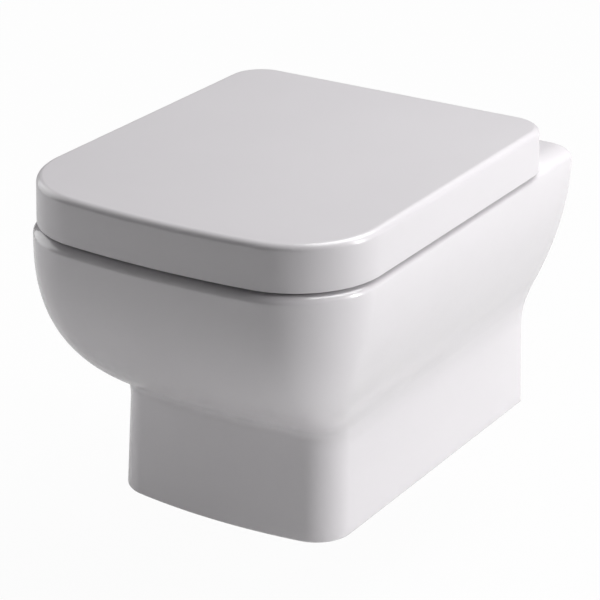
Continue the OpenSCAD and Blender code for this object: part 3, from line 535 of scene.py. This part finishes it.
metal = add(tree, "ShaderNodeBsdfPrincipled", {
    "Base Color": tint.outputs["Result"], "Metallic": 1.0, "Roughness": sheen.outputs["Result"],
    "Normal": scored.outputs["Normal"]})
add(tree, "ShaderNodeOutputMaterial", {"Surface": metal.outputs["BSDF"]})


def gathered(name, parts):
    """Several separate solids as one object."""
    work = bmesh.new()
    for part in parts:
        work.from_mesh(part.data)
        bpy.data.objects.remove(part)
    mesh = bpy.data.meshes.new(name)
    work.to_mesh(mesh)
    work.free()
    piece = bpy.data.objects.new(name, mesh)
    bpy.context.scene.collection.objects.link(piece)
    return piece


def threaded(name, r, pitch, low, high, centre, axis, depth=0.6):
    """A screw: its radius falls and rises once in each pitch of a helix."""
    sides, per_turn, run_out_h, flank, crest = 32, 8, 1.2, 2.6, 0.15
    rows = int((high - low) / pitch * per_turn)
    made = []
    t = 2 * np.pi * np.arange(sides) / sides
    for k in range(rows + 1):
        h = low + (high - low) * k / rows
        phase = (h / pitch - t / (2 * np.pi)) % 1.0
        wave = np.clip(np.abs(phase - 0.5) * flank - crest, 0, 1)
        run_out = min(1.0, (h - low) / run_out_h, (high - h) / run_out_h)
        here = r - depth * np.maximum(1 - wave, 1 - run_out)
        made.append(np.stack([here * np.cos(t), here * np.sin(t), np.full(sides, h)], 1))
    made = [m[:, [0, 2, 1]] * [1, -1, 1] if axis == "y" else m for m in made]
    return stacked(name, [m + np.array(centre, float) for m in made])


stud_hole_r, nut_half = 6.3, 9
flange, nut_back, nut_front = lug_t + 3, 23.5, 33.5
corner = nut_half / math.cos(math.pi / 6)
sleeve_profile = [(stud_hole_r, 0), (10.9, 0), (10.9, lug_t), (17, lug_t), (17, flange),
                  (stud_hole_r, flange)]
washer_profile = [(stud_hole_r, flange), (15, flange), (15, nut_back), (stud_hole_r, nut_back)]
nut_profile = [(0, nut_back), (8.6, nut_back), (9.1, 23.7), (corner, 24.6), (corner, 32.4),
               (9.1, 33.3), (8.6, nut_front), (0, nut_front)]
mouth_profile = [(0, 22), (6.9, 22), (6.9, 23.6), (5.5, 24.8), (5.5, 32.2), (6.9, 33.4),
                 (6.9, 35), (0, 35)]
six = [(corner * 1.001 * math.cos(math.pi / 3 * k), corner * 1.001 * math.sin(math.pi / 3 * k))
       for k in range(6)]
sleeves, washers, nuts = [], [], []
for side in (-1, 1):
    spot = (side * bolt_x, 0, 0)
    sleeves.append(turned("sleeve", softened(sleeve_profile, 0.6), spot, "y"))
    washers.append(turned("washer", softened(washer_profile, 0.35), spot, "y"))
    blank = turned("nut", nut_profile, spot, "y", 96)
    worked(blank, "INTERSECT", plate("six", six, 22, 35, 0.01,
                                     lambda u, v, w: (side * bolt_x + u, -w, v)))
    worked(blank, "DIFFERENCE", threaded("thread", 6.28, 1.75, 20, 37, spot, "y", 0.9),
           turned("mouth", mouth_profile, spot, "y", 48))
    nuts.append(blank)
placed(gathered("wall_bolt_sleeves", sleeves), "pan", "wall_sleeves", nylon)
placed(gathered("wall_bolt_washers", washers), "pan", "wall_washers", stainless)
placed(gathered("wall_bolt_nuts", nuts), "pan", "wall_nuts", stainless, 24)


# Hinge posts: zinc die castings, satin plated. Each has a round base with a threaded boss,
# an upright in front of the bolt, and an arm back to the barrel that holds the hinge pin.

# Zinc, cast and satin plated: grey metal with a fine pebbled skin and slow darker patches.
zinc, tree, place = finish_named("zinc_die_cast_satin")
cast = add(tree, "ShaderNodeTexNoise", {"Vector": place, "Scale": 1 / 0.0009, "Detail": 4.0})
patch = add(tree, "ShaderNodeTexNoise", {"Vector": place, "Scale": 1 / 0.012, "Detail": 2.0})
tint = add(tree, "ShaderNodeMix", {
    "Factor": patch.outputs["Fac"], "A": linear("#A9ABAE"), "B": linear("#BCBEC1")}, data_type="RGBA")
pebbled = add(tree, "ShaderNodeBump", {"Height": cast.outputs["Fac"], "Distance": 0.000018})
satin = add(tree, "ShaderNodeMapRange", {"Value": cast.outputs["Fac"], "To Min": 0.3, "To Max": 0.46})
metal = add(tree, "ShaderNodeBsdfPrincipled", {
    "Base Color": tint.outputs["Result"], "Metallic": 1.0, "Roughness": satin.outputs["Result"],
    "Normal": pebbled.outputs["Normal"]})
add(tree, "ShaderNodeOutputMaterial", {"Surface": metal.outputs["BSDF"]})

hinge_y, hinge_z, barrel_r, pin_r = 73.0, 118.0, 10, 4
post_half, pin_hole_r = 8, pin_r + 0.05


def from_side(u, v, w):
    """Profiles seen from the side: distance from the wall, height, and x."""
    return (w, -u, v)


def barrel_arc(start, end, points=44):
    """Part of a knuckle's or post's round end, between two angles in degrees."""
    return [(hinge_y + barrel_r * math.cos(math.radians(t)),
             hinge_z + barrel_r * math.sin(math.radians(t)))
            for t in np.linspace(start, end, points)]


def post(name, side):
    middle = side * post_x
    arm = softened([(hinge_y + 4.6, 109), (90.5, 109), (90.5, 99.5), (79.5, 99.5), (79.5, 92),
                    (101.5, 92), (101.5, 126)], 1.6)
    corners = barrel_arc(54, 296, 40) + arm[1:-6]
    corners += [(101.5, 121.5), (100.6, 124.2), (98.6, 125.7), (96.5, 126)]
    made = plate(name, corners, middle - post_half, middle + post_half, 0.9, from_side)
    foot = softened([(0, 91.5), (22, 91.5), (22, 95.5), (0, 95.5)], 0.8)
    worked(made, "UNION", turned("foot", foot, (middle, -bolt_y, 0), "z", 96))
    pin_hole = [(0, -9), (4.9, -9), (4.9, -8), (pin_hole_r, -7.2), (pin_hole_r, 7.2), (4.9, 8),
                (4.9, 9), (0, 9)]
    recess = softened([(0, 99.6), (2.2, 99.6), (2.2, 103), (0, 103)], 0.1)
    worked(made, "DIFFERENCE",
           turned("pin_hole", pin_hole, (middle, -hinge_y, hinge_z), "x", 48),
           threaded("thread", 4.05, 1.25, 88, 103, (middle, -bolt_y, 0), "z", 0.55),
           turned("screw_recess", recess, (middle, -96, -4), "z", 24))
    return made


placed(post("hinge_post_l", -1), "pan", "hinge_post_left", zinc, 28)
placed(post("hinge_post_r", 1), "pan", "hinge_post_right", zinc, 28)


# Covers over the posts' bases: pressed stainless steel, polished, snapped on from above.
# Each has a slot that the post stands in and a rounded brim.

# Stainless steel, polished: a bright mirror with faint wiping marks that blur it here and there,
# drawn 1.5 mm wide, coarser than they are, so that they show.
polished, tree, place = finish_named("stainless_steel_polished")
wipe = add(tree, "ShaderNodeTexNoise", {"Vector": place, "Scale": 1 / 0.0015, "Detail": 2.0})
hue = add(tree, "ShaderNodeTexNoise", {"Vector": place, "Scale": 1 / 0.02, "Detail": 1.0})
tint = add(tree, "ShaderNodeMix", {
    "Factor": hue.outputs["Fac"], "A": linear("#D3D4D6"), "B": linear("#DDDEDF")}, data_type="RGBA")
faint = add(tree, "ShaderNodeBump", {"Height": wipe.outputs["Fac"], "Distance": 0.0000015})
bright = add(tree, "ShaderNodeMapRange", {"Value": wipe.outputs["Fac"], "To Min": 0.06, "To Max": 0.14})
metal = add(tree, "ShaderNodeBsdfPrincipled", {
    "Base Color": tint.outputs["Result"], "Metallic": 1.0, "Roughness": bright.outputs["Result"],
    "Normal": faint.outputs["Normal"]})
add(tree, "ShaderNodeOutputMaterial", {"Surface": metal.outputs["BSDF"]})

cover_r, cover_top = 23.3, 96.8
cover_profile = [(0, cover_top), (0, cover_top - 1), (cover_r - 1, cover_top - 1),
                 (cover_r - 1, 90.3), (cover_r, 90.3), (cover_r, cover_top)]
slot = softened([(post_x - 8.3, 79.2), (post_x + 8.3, 79.2), (post_x + 8.3, 101.8),
                 (post_x - 8.3, 101.8)], 1.5)
covers = []
for side in (-1, 1):
    cap = turned("cover", softened(cover_profile, 0.9), (side * post_x, -bolt_y, 0), "z", 128)
    worked(cap, "DIFFERENCE", plate("slot", [(side * u, v) for u, v in slot], 93, 99, 0.01,
                                    lambda u, v, w: (u, -v, w)))
    covers.append(cap)
placed(gathered("hinge_base_covers", covers), "pan", "hinge_covers", polished)


# Soft washers between the posts' bases and the deck: moulded EPDM rubber, light grey.
# They keep metal off the glaze and are squeezed flat by the bolts.

# Rubber, moulded: soft and matt, with a faint pale bloom in clouds and a fine grain.
rubber, tree, place = finish_named("epdm_rubber_moulded")
bloom = add(tree, "ShaderNodeTexNoise", {"Vector": place, "Scale": 1 / 0.008, "Detail": 4.0})
skin_grain = add(tree, "ShaderNodeTexNoise", {"Vector": place, "Scale": 1 / 0.0005, "Detail": 2.0})
tint = add(tree, "ShaderNodeMix", {
    "Factor": bloom.outputs["Fac"], "A": linear("#CFCFCC"), "B": linear("#DBDBD8")}, data_type="RGBA")
soft = add(tree, "ShaderNodeBump", {"Height": skin_grain.outputs["Fac"], "Distance": 0.00002})
flat = add(tree, "ShaderNodeMapRange", {"Value": bloom.outputs["Fac"], "To Min": 0.62, "To Max": 0.8})
compound = add(tree, "ShaderNodeBsdfPrincipled", {
    "Base Color": tint.outputs["Result"], "Roughness": flat.outputs["Result"], "IOR": 1.52,
    "Sheen Weight": 0.1, "Normal": soft.outputs["Normal"]})
add(tree, "ShaderNodeOutputMaterial", {"Surface": compound.outputs["BSDF"]})

gasket = softened([(4.5, deck), (21.5, deck), (21.5, deck + 1.5), (4.5, deck + 1.5)], 0.4)
gaskets = [turned("gasket", gasket, (side * post_x, -bolt_y, 0), "z", 96) for side in (-1, 1)]
placed(gathered("hinge_base_gaskets", gaskets), "pan", "hinge_gaskets", rubber)


# Under the deck: the seat bolts are stainless studs with a rolled thread. Rubber cones centre
# them in the deck's holes, and a nylon washer and a wing nut turned by hand pull them tight.

screw_r, screw_pitch, clear_r = 4.0, 1.25, 4.15
cone = softened([(clear_r, 74), (12, 74), (12, 78), (7.3, 78), (5.9, 88.5), (clear_r, 88.5)], 0.5)
flat_ring = softened([(clear_r, 72), (11, 72), (11, 74), (clear_r, 74)], 0.35)
hub_profile = softened([(0, 60), (7, 60), (8, 61.5), (8, 70.5), (7.4, 72), (0, 72)], 0.5)
ear = softened([(2, 62.5), (7, 62.3), (11, 55.6), (17.6, 55.1), (17.9, 62.8), (8, 71), (2, 71)], 1.6)
lead_in = [(0, 58), (4.9, 58), (4.9, 60), (3.6, 61.2), (3.6, 71), (4.6, 72), (4.6, 73), (0, 73)]
bolts, cones, rings_flat, wings = [], [], [], []
for side in (-1, 1):
    spot = (side * post_x, -bolt_y, 0)
    bolts.append(threaded("seat_bolt", screw_r, screw_pitch, 39.5, 99.0, spot, "z"))
    cones.append(turned("cone", cone, spot, "z"))
    rings_flat.append(turned("flat", flat_ring, spot, "z"))
    hub = turned("hub", hub_profile, spot, "z")
    for turn in (-1, 1):
        worked(hub, "UNION", plate("ear", [(turn * u, v) for u, v in ear], -2, 2, 0.8,
                                   lambda u, v, w: (side * post_x + u, -bolt_y - w, v)))
    worked(hub, "DIFFERENCE", threaded("thread", clear_r, screw_pitch, 52, 74, spot, "z", 0.5),
           turned("lead_in", lead_in, spot, "z", 48))
    wings.append(hub)
placed(gathered("seat_bolt_studs", bolts), "pan", "seat_bolts", stainless, 24)
placed(gathered("seat_bolt_cones", cones), "pan", "seat_bolt_bushes", rubber)
placed(gathered("seat_bolt_flat_washers", rings_flat), "pan", "seat_bolt_washers", nylon)
placed(gathered("seat_bolt_wing_nuts", wings), "pan", "seat_wing_nuts", nylon)


# Hinge pins: ground stainless rod with chamfered ends, held fast in the posts' barrels.
# Seat and lid turn on them with their bushes and dampers.

pin_half, chamfer = 26, 0.6
pin_profile = softened([(0, -pin_half), (pin_r - chamfer, -pin_half), (pin_r, chamfer - pin_half),
                        (pin_r, pin_half - chamfer), (pin_r - chamfer, pin_half), (0, pin_half)], 0.3)
for side, word in ((-1, "left"), (1, "right")):
    rod = turned("hinge_pin_" + word[0], pin_profile, (side * post_x, -hinge_y, hinge_z), "x", 48)
    placed(rod, "pan", "hinge_pin_" + word, stainless)


# Seat ring: white thermoset pressed in a heated mould, solid and about 20 mm thick, with
# rounded edges all round. Two arms at its back carry the knuckles that turn on the hinge pins.

# Urea thermoset, moulded: white and glossy but softer than the glaze, with slow swells.
thermoset, tree, place = finish_named("urea_thermoset_moulded")
swell = add(tree, "ShaderNodeTexNoise", {"Vector": place, "Scale": 1 / 0.045, "Detail": 1.0})
press = add(tree, "ShaderNodeTexNoise", {"Vector": place, "Scale": 1 / 0.0012, "Detail": 2.0})
drift = add(tree, "ShaderNodeTexNoise", {"Vector": place, "Scale": 1 / 0.12, "Detail": 2.0})
tint = add(tree, "ShaderNodeMix", {
    "Factor": drift.outputs["Fac"], "A": linear("#E3E0E3"), "B": linear("#E7E4E7")}, data_type="RGBA")
slow = add(tree, "ShaderNodeBump", {"Height": swell.outputs["Fac"], "Distance": 0.00004})
tight = add(tree, "ShaderNodeBump", {
    "Height": press.outputs["Fac"], "Distance": 0.000002, "Normal": slow.outputs["Normal"]})
shine = add(tree, "ShaderNodeMapRange", {"Value": press.outputs["Fac"], "To Min": 0.26, "To Max": 0.34})
resin = add(tree, "ShaderNodeBsdfPrincipled", {
    "Base Color": tint.outputs["Result"], "Roughness": shine.outputs["Result"], "IOR": 1.55,
    "Coat Weight": 0.25, "Coat Roughness": 0.15, "Subsurface Weight": 0.05,
    "Subsurface Radius": (0.003, 0.003, 0.003), "Normal": tight.outputs["Normal"]})
add(tree, "ShaderNodeOutputMaterial", {"Surface": resin.outputs["BSDF"]})

lid_rear_w, lid_front_w, lid_front, lid_corner, lid_bow = 354, 359.4, 493.5, 91, 18
swing_r = 27.2
seat_low, seat_top, seat_rear, seat_inset = 99.0, 119.0, hinge_y + swing_r + 3, 10
top_r, low_r, rim_r = 7, 3, 2.5


def seat_plan(t):
    """The seat's plan is the lid's, drawn in all round so that the lid's skirt hides it."""
    inset = seat_inset + t
    return outline(lid_rear_w / 2 - inset, lid_front_w / 2 - inset, seat_rear + t,
                   lid_front - inset, lid_corner - inset, lid_bow, 24 - t)


def seat_mouth(t):
    return oval(109 + t, 168 - t, 424 + t, 2.7)


edge = quarter(14)
seat = [at_height(seat_plan(top_r * (1 - math.sin(a))), seat_top - top_r * (1 - math.cos(a)))
        for a in edge]
seat += [at_height(seat_plan(low_r * (1 - math.cos(a))), seat_low + low_r * (1 - math.sin(a)))
         for a in quarter(9)]
seat = stacked("seat_ring_moulding", seat)
opening = [at_height(seat_mouth(7.6), seat_top + 1)]
opening += [at_height(seat_mouth(top_r * (1 - math.sin(a))), seat_top - top_r * (1 - math.cos(a)))
            for a in edge]
opening += [at_height(seat_mouth(rim_r * (1 - math.cos(a))), seat_low + rim_r * (1 - math.sin(a)))
            for a in quarter(7)]
opening += [at_height(seat_mouth(2.6), seat_low - 1)]

seat_knuckle_x, lid_knuckle_x, knuckle_half, bore_r = 60.25, 94.75, 8.75, 6.55
bore = [(0, -11), (7.3, -11), (7.3, -knuckle_half), (bore_r, -8), (bore_r, 8), (7.3, knuckle_half),
        (7.3, 11), (0, 11)]


def knuckle(name, middle, arm):
    """A barrel on the hinge line with the arm that carries it, both in one profile."""
    return plate(name, arm, middle - knuckle_half, middle + knuckle_half, 0.8, from_side)


seat_arm = barrel_arc(90, 296) + [(hinge_y + 8, 109.2), (116, 109), (116, 118.2), (108, 118.4),
                                  (100, 119.6), (90, 123.4), (82, 126.4)]
for side in (-1, 1):
    worked(seat, "UNION", knuckle("seat_knuckle", side * seat_knuckle_x, seat_arm))
worked(seat, "DIFFERENCE", stacked("seat_opening", opening),
       *[turned("knuckle_bore", bore, (side * seat_knuckle_x, -hinge_y, hinge_z), "x", 48)
         for side in (-1, 1)])
placed(seat, "seat", "seat_ring", thermoset, 30)


# Feet under the seat and under the lid: soft rubber buttons pressed into the mouldings.
# They take the weight and leave a slit of air, which shows as the dark seam under the lid, made darker
# still by the painted shade in the glaze.

def button(x, y, r, low, high):
    """A foot that bears on its flat lower end, with a dish in it and a rib round its side."""
    middle = (low + high) / 2
    profile = [(0, low + 0.5), (r * 0.35, low + 0.4), (r * 0.55, low), (r - 1.5, low),
               (r - 0.4, low + 0.5), (r, low + 1.6), (r, middle - 0.6), (r - 0.35, middle),
               (r, middle + 0.6), (r, high), (0, high)]
    return turned("foot", profile, (x, -y, 0), "z", 64)


seat_feet = [button(x, y, 11, deck + 0.3, seat_low) for x in (-139, 139) for y in (200, 392)]
placed(gathered("seat_rubber_feet", seat_feet), "seat", "seat_feet", rubber)


# Seat damper and bush: the damper is a sealed acetal cartridge filled with thick oil, pushed
# into the left knuckle, and the nylon bush carries the right one.

# Acetal, moulded: mid grey and waxy, with faint flow clouds and a fine spark-eroded skin, drawn
# 0.4 mm wide like the nylon's.
acetal, tree, place = finish_named("acetal_grey_moulded")
flow = add(tree, "ShaderNodeTexNoise", {"Vector": place, "Scale": 1 / 0.004, "Detail": 3.0})
spark = add(tree, "ShaderNodeTexNoise", {"Vector": place, "Scale": 1 / 0.0004, "Detail": 1.0})
tint = add(tree, "ShaderNodeMix", {
    "Factor": flow.outputs["Fac"], "A": linear("#84888D"), "B": linear("#969A9F")}, data_type="RGBA")
eroded = add(tree, "ShaderNodeBump", {"Height": spark.outputs["Fac"], "Distance": 0.00001})
dull = add(tree, "ShaderNodeMapRange", {"Value": flow.outputs["Fac"], "To Min": 0.32, "To Max": 0.44})
shell = add(tree, "ShaderNodeBsdfPrincipled", {
    "Base Color": tint.outputs["Result"], "Roughness": dull.outputs["Result"], "IOR": 1.48,
    "Normal": eroded.outputs["Normal"]})
add(tree, "ShaderNodeOutputMaterial", {"Surface": shell.outputs["BSDF"]})

turning_r, bush_r = 4.05, 6.5


def cartridge(name, knuckle_x):
    """Sleeve inside the knuckle and closed body beyond, with two grooves and a keyed end."""
    profile = softened([
        (turning_r, -knuckle_half), (bush_r, -knuckle_half), (bush_r, 8.9), (6.1, 9.2), (6.1, 9.8),
        (bush_r, 10.1), (bush_r, 22.2), (6.1, 22.5), (6.1, 23.2), (bush_r, 23.5), (bush_r, 26.0),
        (5.7, 26.75), (0, 26.75), (0, 8.6), (turning_r, 8.6)], 0.15)
    made = turned(name, profile, (knuckle_x, -hinge_y, hinge_z), "x", 64)
    key = softened([(hinge_y - 4, hinge_z - 1), (hinge_y + 4, hinge_z - 1),
                    (hinge_y + 4, hinge_z + 1), (hinge_y - 4, hinge_z + 1)], 0.6)
    return worked(made, "DIFFERENCE",
                  plate("key", key, knuckle_x + 25.6, knuckle_x + 28, 0.01, from_side))


def plain_bush(name, knuckle_x):
    profile = softened([(turning_r, -knuckle_half), (bush_r, -knuckle_half),
                        (bush_r, knuckle_half), (turning_r, knuckle_half)], 0.4)
    return turned(name, profile, (knuckle_x, -hinge_y, hinge_z), "x", 64)


placed(cartridge("seat_soft_close", -seat_knuckle_x), "seat", "seat_damper", acetal)
placed(plain_bush("seat_plain_bush", seat_knuckle_x), "seat", "seat_bush", nylon)


# Lid: one deep shell of the same thermoset, 45 mm high with a flat top 5 mm thick and a skirt
# of 6 mm that hides the seat. Its back is notched for the hinges and trimmed to swing clear.

lid_low, lid_top, lid_rear, skirt = 89.0, 134.0, 59, 6
lid_under = lid_top - 5
lid_edge, lower_edge, inner_corner, inner_edge = 6.5, 0.8, 4, 1.2


def lid_ring(z, t):
    """The lid's plan at a height, moved inwards by t. The skirt leans in by 1 mm to its top."""
    inset = t + (z - lid_low) / (lid_top - lid_low)
    return at_height(outline(lid_rear_w / 2 - inset, lid_front_w / 2 - inset, lid_rear + t,
                             lid_front - inset, lid_corner - inset, lid_bow, 36.5 - t), z)


lid = [lid_ring(lid_top - lid_edge * (1 - math.cos(a)), lid_edge * (1 - math.sin(a)))
       for a in quarter(18)]
lid += [lid_ring(z, 0) for z in (120, 112, 104, 96)]
lid += [lid_ring(lid_low + lower_edge * (1 - math.sin(a)), lower_edge * (1 - math.cos(a)))
        for a in quarter(8)]
lid = stacked("lid_moulding", lid)
lid_inside = [lid_ring(lid_under - inner_corner * (1 - math.cos(a)),
                       skirt + inner_corner * (1 - math.sin(a))) for a in quarter(9)]
lid_inside += [lid_ring(110, skirt)]
lid_inside += [lid_ring(lid_low + inner_edge * (1 - math.sin(a)),
                        skirt - inner_edge * (1 - math.cos(a))) for a in quarter(6)]
lid_inside += [lid_ring(lid_low - 1, 4.7)]
under_swing = box_between("below_axis", -360, 360, 50, hinge_y, 80, hinge_z)
worked(under_swing, "DIFFERENCE", turned("swing", [(0, -400), (swing_r, -400), (swing_r, 400),
                                                   (0, 400)], (0, -hinge_y, hinge_z), "x", 128))
notch = softened([(50, 60), (107.5, 60), (107.5, lid_under), (50, lid_under)], 2.5)
notches = [plate("notch", [(side * u, v) for u, v in notch], 50, 70, 0.01, lambda u, v, w: (u, -w, v))
           for side in (-1, 1)]
worked(lid, "DIFFERENCE", stacked("lid_inside", lid_inside), under_swing, *notches)
lid_arm = barrel_arc(180, 360) + [
    (hinge_y + 10.4, 122), (hinge_y + 12.2, 126.4), (hinge_y + 15, 128.6), (hinge_y + 15, 130.5),
    (hinge_y - 13.5, 130.5), (hinge_y - 13, 128.6), (hinge_y - 10.8, 126.4), (hinge_y - 10.1, 122)]
for side in (-1, 1):
    worked(lid, "UNION", knuckle("lid_knuckle", side * lid_knuckle_x, lid_arm))
worked(lid, "DIFFERENCE", *[turned("knuckle_bore", bore, (side * lid_knuckle_x, -hinge_y, hinge_z),
                                   "x", 48) for side in (-1, 1)])
placed(lid, "lid", "lid", thermoset, 30)

lid_feet = [button(x, y, 8, seat_top + 0.3, lid_under) for x in (-135, 135) for y in (212, 372)]
placed(gathered("lid_rubber_feet", lid_feet), "lid", "lid_feet", rubber)
placed(cartridge("lid_soft_close", lid_knuckle_x), "lid", "lid_damper", acetal)
placed(plain_bush("lid_plain_bush", -lid_knuckle_x), "lid", "lid_bush", nylon)


# Room: a pale floor 310 mm below the wall bolts, where a bathroom floor would be, and even
# white all round. The camera sees white, and the floor keeps a faint shadow of the pan. It
# glows a little, as a light table does, which lifts the shade under the bowl.

floor_z, floor_reach = -0.31, 30
floor_mesh = bpy.data.meshes.new("floor")
floor_mesh.from_pydata([(x * floor_reach, y * floor_reach, floor_z)
                        for x, y in ((-1, -1), (1, -1), (1, 1), (-1, 1))], [], [(0, 1, 2, 3)])
floor = bpy.data.objects.new("floor", floor_mesh)
bpy.context.scene.collection.objects.link(floor)
paper, tree, place = finish_named("matt_white_floor")
ray = add(tree, "ShaderNodeLightPath")
fibre = add(tree, "ShaderNodeTexNoise", {"Vector": place, "Scale": 1 / 0.004, "Detail": 3.0})
tint = add(tree, "ShaderNodeMix", {
    "Factor": fibre.outputs["Fac"], "A": linear("#D2D2D2"), "B": linear("#D6D6D6")}, data_type="RGBA")
matt = add(tree, "ShaderNodeBsdfDiffuse", {"Color": tint.outputs["Result"], "Roughness": 0.5})
glow = add(tree, "ShaderNodeEmission", {"Color": linear("#FFFFFF"), "Strength": 0.09})
lit_below = add(tree, "ShaderNodeAddShader", {0: matt.outputs["BSDF"], 1: glow.outputs["Emission"]})
white = add(tree, "ShaderNodeEmission", {"Color": linear("#FFFFFF"), "Strength": 1.0})
seen = add(tree, "ShaderNodeMath", {0: ray.outputs["Is Camera Ray"], 1: 0.96}, operation="MULTIPLY")
both = add(tree, "ShaderNodeMixShader", {
    0: seen.outputs["Value"], 1: lit_below.outputs["Shader"], 2: white.outputs["Emission"]})
add(tree, "ShaderNodeOutputMaterial", {"Surface": both.outputs["Shader"]})
floor_mesh.materials.append(paper)

world = bpy.data.worlds.new("white_room")
bpy.context.scene.world = world
world.use_nodes = True
tree = world.node_tree
tree.nodes.clear()
ray = add(tree, "ShaderNodeLightPath")
through = add(tree, "ShaderNodeMath", {
    0: ray.outputs["Is Camera Ray"], 1: ray.outputs["Is Transmission Ray"]}, operation="MAXIMUM")
lit = add(tree, "ShaderNodeBackground", {"Color": linear("#F6F4F6"), "Strength": 0.03})
shown = add(tree, "ShaderNodeBackground", {"Color": linear("#FFFFFF"), "Strength": 1.0})
pick = add(tree, "ShaderNodeMixShader", {
    0: through.outputs["Value"], 1: lit.outputs["Background"], 2: shown.outputs["Background"]})
add(tree, "ShaderNodeOutputWorld", {"Surface": pick.outputs["Shader"]})


def soft_box(name, spot, width, height, watts):
    """A rectangular lamp that faces the middle of the pan."""
    lamp = bpy.data.lights.new(name, "AREA")
    lamp.shape = "RECTANGLE"
    lamp.size, lamp.size_y, lamp.energy = width, height, watts
    made = bpy.data.objects.new(name, lamp)
    made.location = spot
    made.rotation_euler = (middle - Vector(spot)).to_track_quat("-Z", "Y").to_euler()
    bpy.context.scene.collection.objects.link(made)


middle = Vector((0, -0.25, -0.05))
soft_box("key_from_right", (2.6, 0.5, 0.65), 0.4, 1.7, 42)
soft_box("fill_from_left", (-2.6, -0.25, 0.8), 2.2, 2.0, 28.5)
soft_box("top_from_behind", (0.8, 0.75, 2.4), 2.0, 2.0, 73.5)


# Camera: a long lens where the photograph was taken from, in front of the pan, to its right
# and above, fitted to the outlines of pan and lid.

azimuth, height, tilt = math.radians(31.65), math.radians(22.81), math.radians(0.26)
focus_px, picture_px, film = 2624.99, 600, 36
back = Vector((math.sin(azimuth) * math.cos(height), -math.cos(azimuth) * math.cos(height),
               math.sin(height)))
level = Vector((math.cos(azimuth), math.sin(azimuth), 0))
upright = back.cross(level)
right = level * math.cos(tilt) + upright * math.sin(tilt)
up = upright * math.cos(tilt) - level * math.sin(tilt)
lens = bpy.data.cameras.new("photo_view")
lens.sensor_width = film
lens.lens = focus_px / picture_px * film
lens.clip_end = 100
camera = bpy.data.objects.new("photo_view", lens)
camera.matrix_world = (Matrix.Translation((1.24862, -2.27008, 0.97156))
                       @ Matrix((right, up, back)).transposed().to_4x4())
bpy.context.scene.collection.objects.link(camera)
bpy.context.scene.camera = camera
bpy.context.scene.view_settings.view_transform = "Standard"
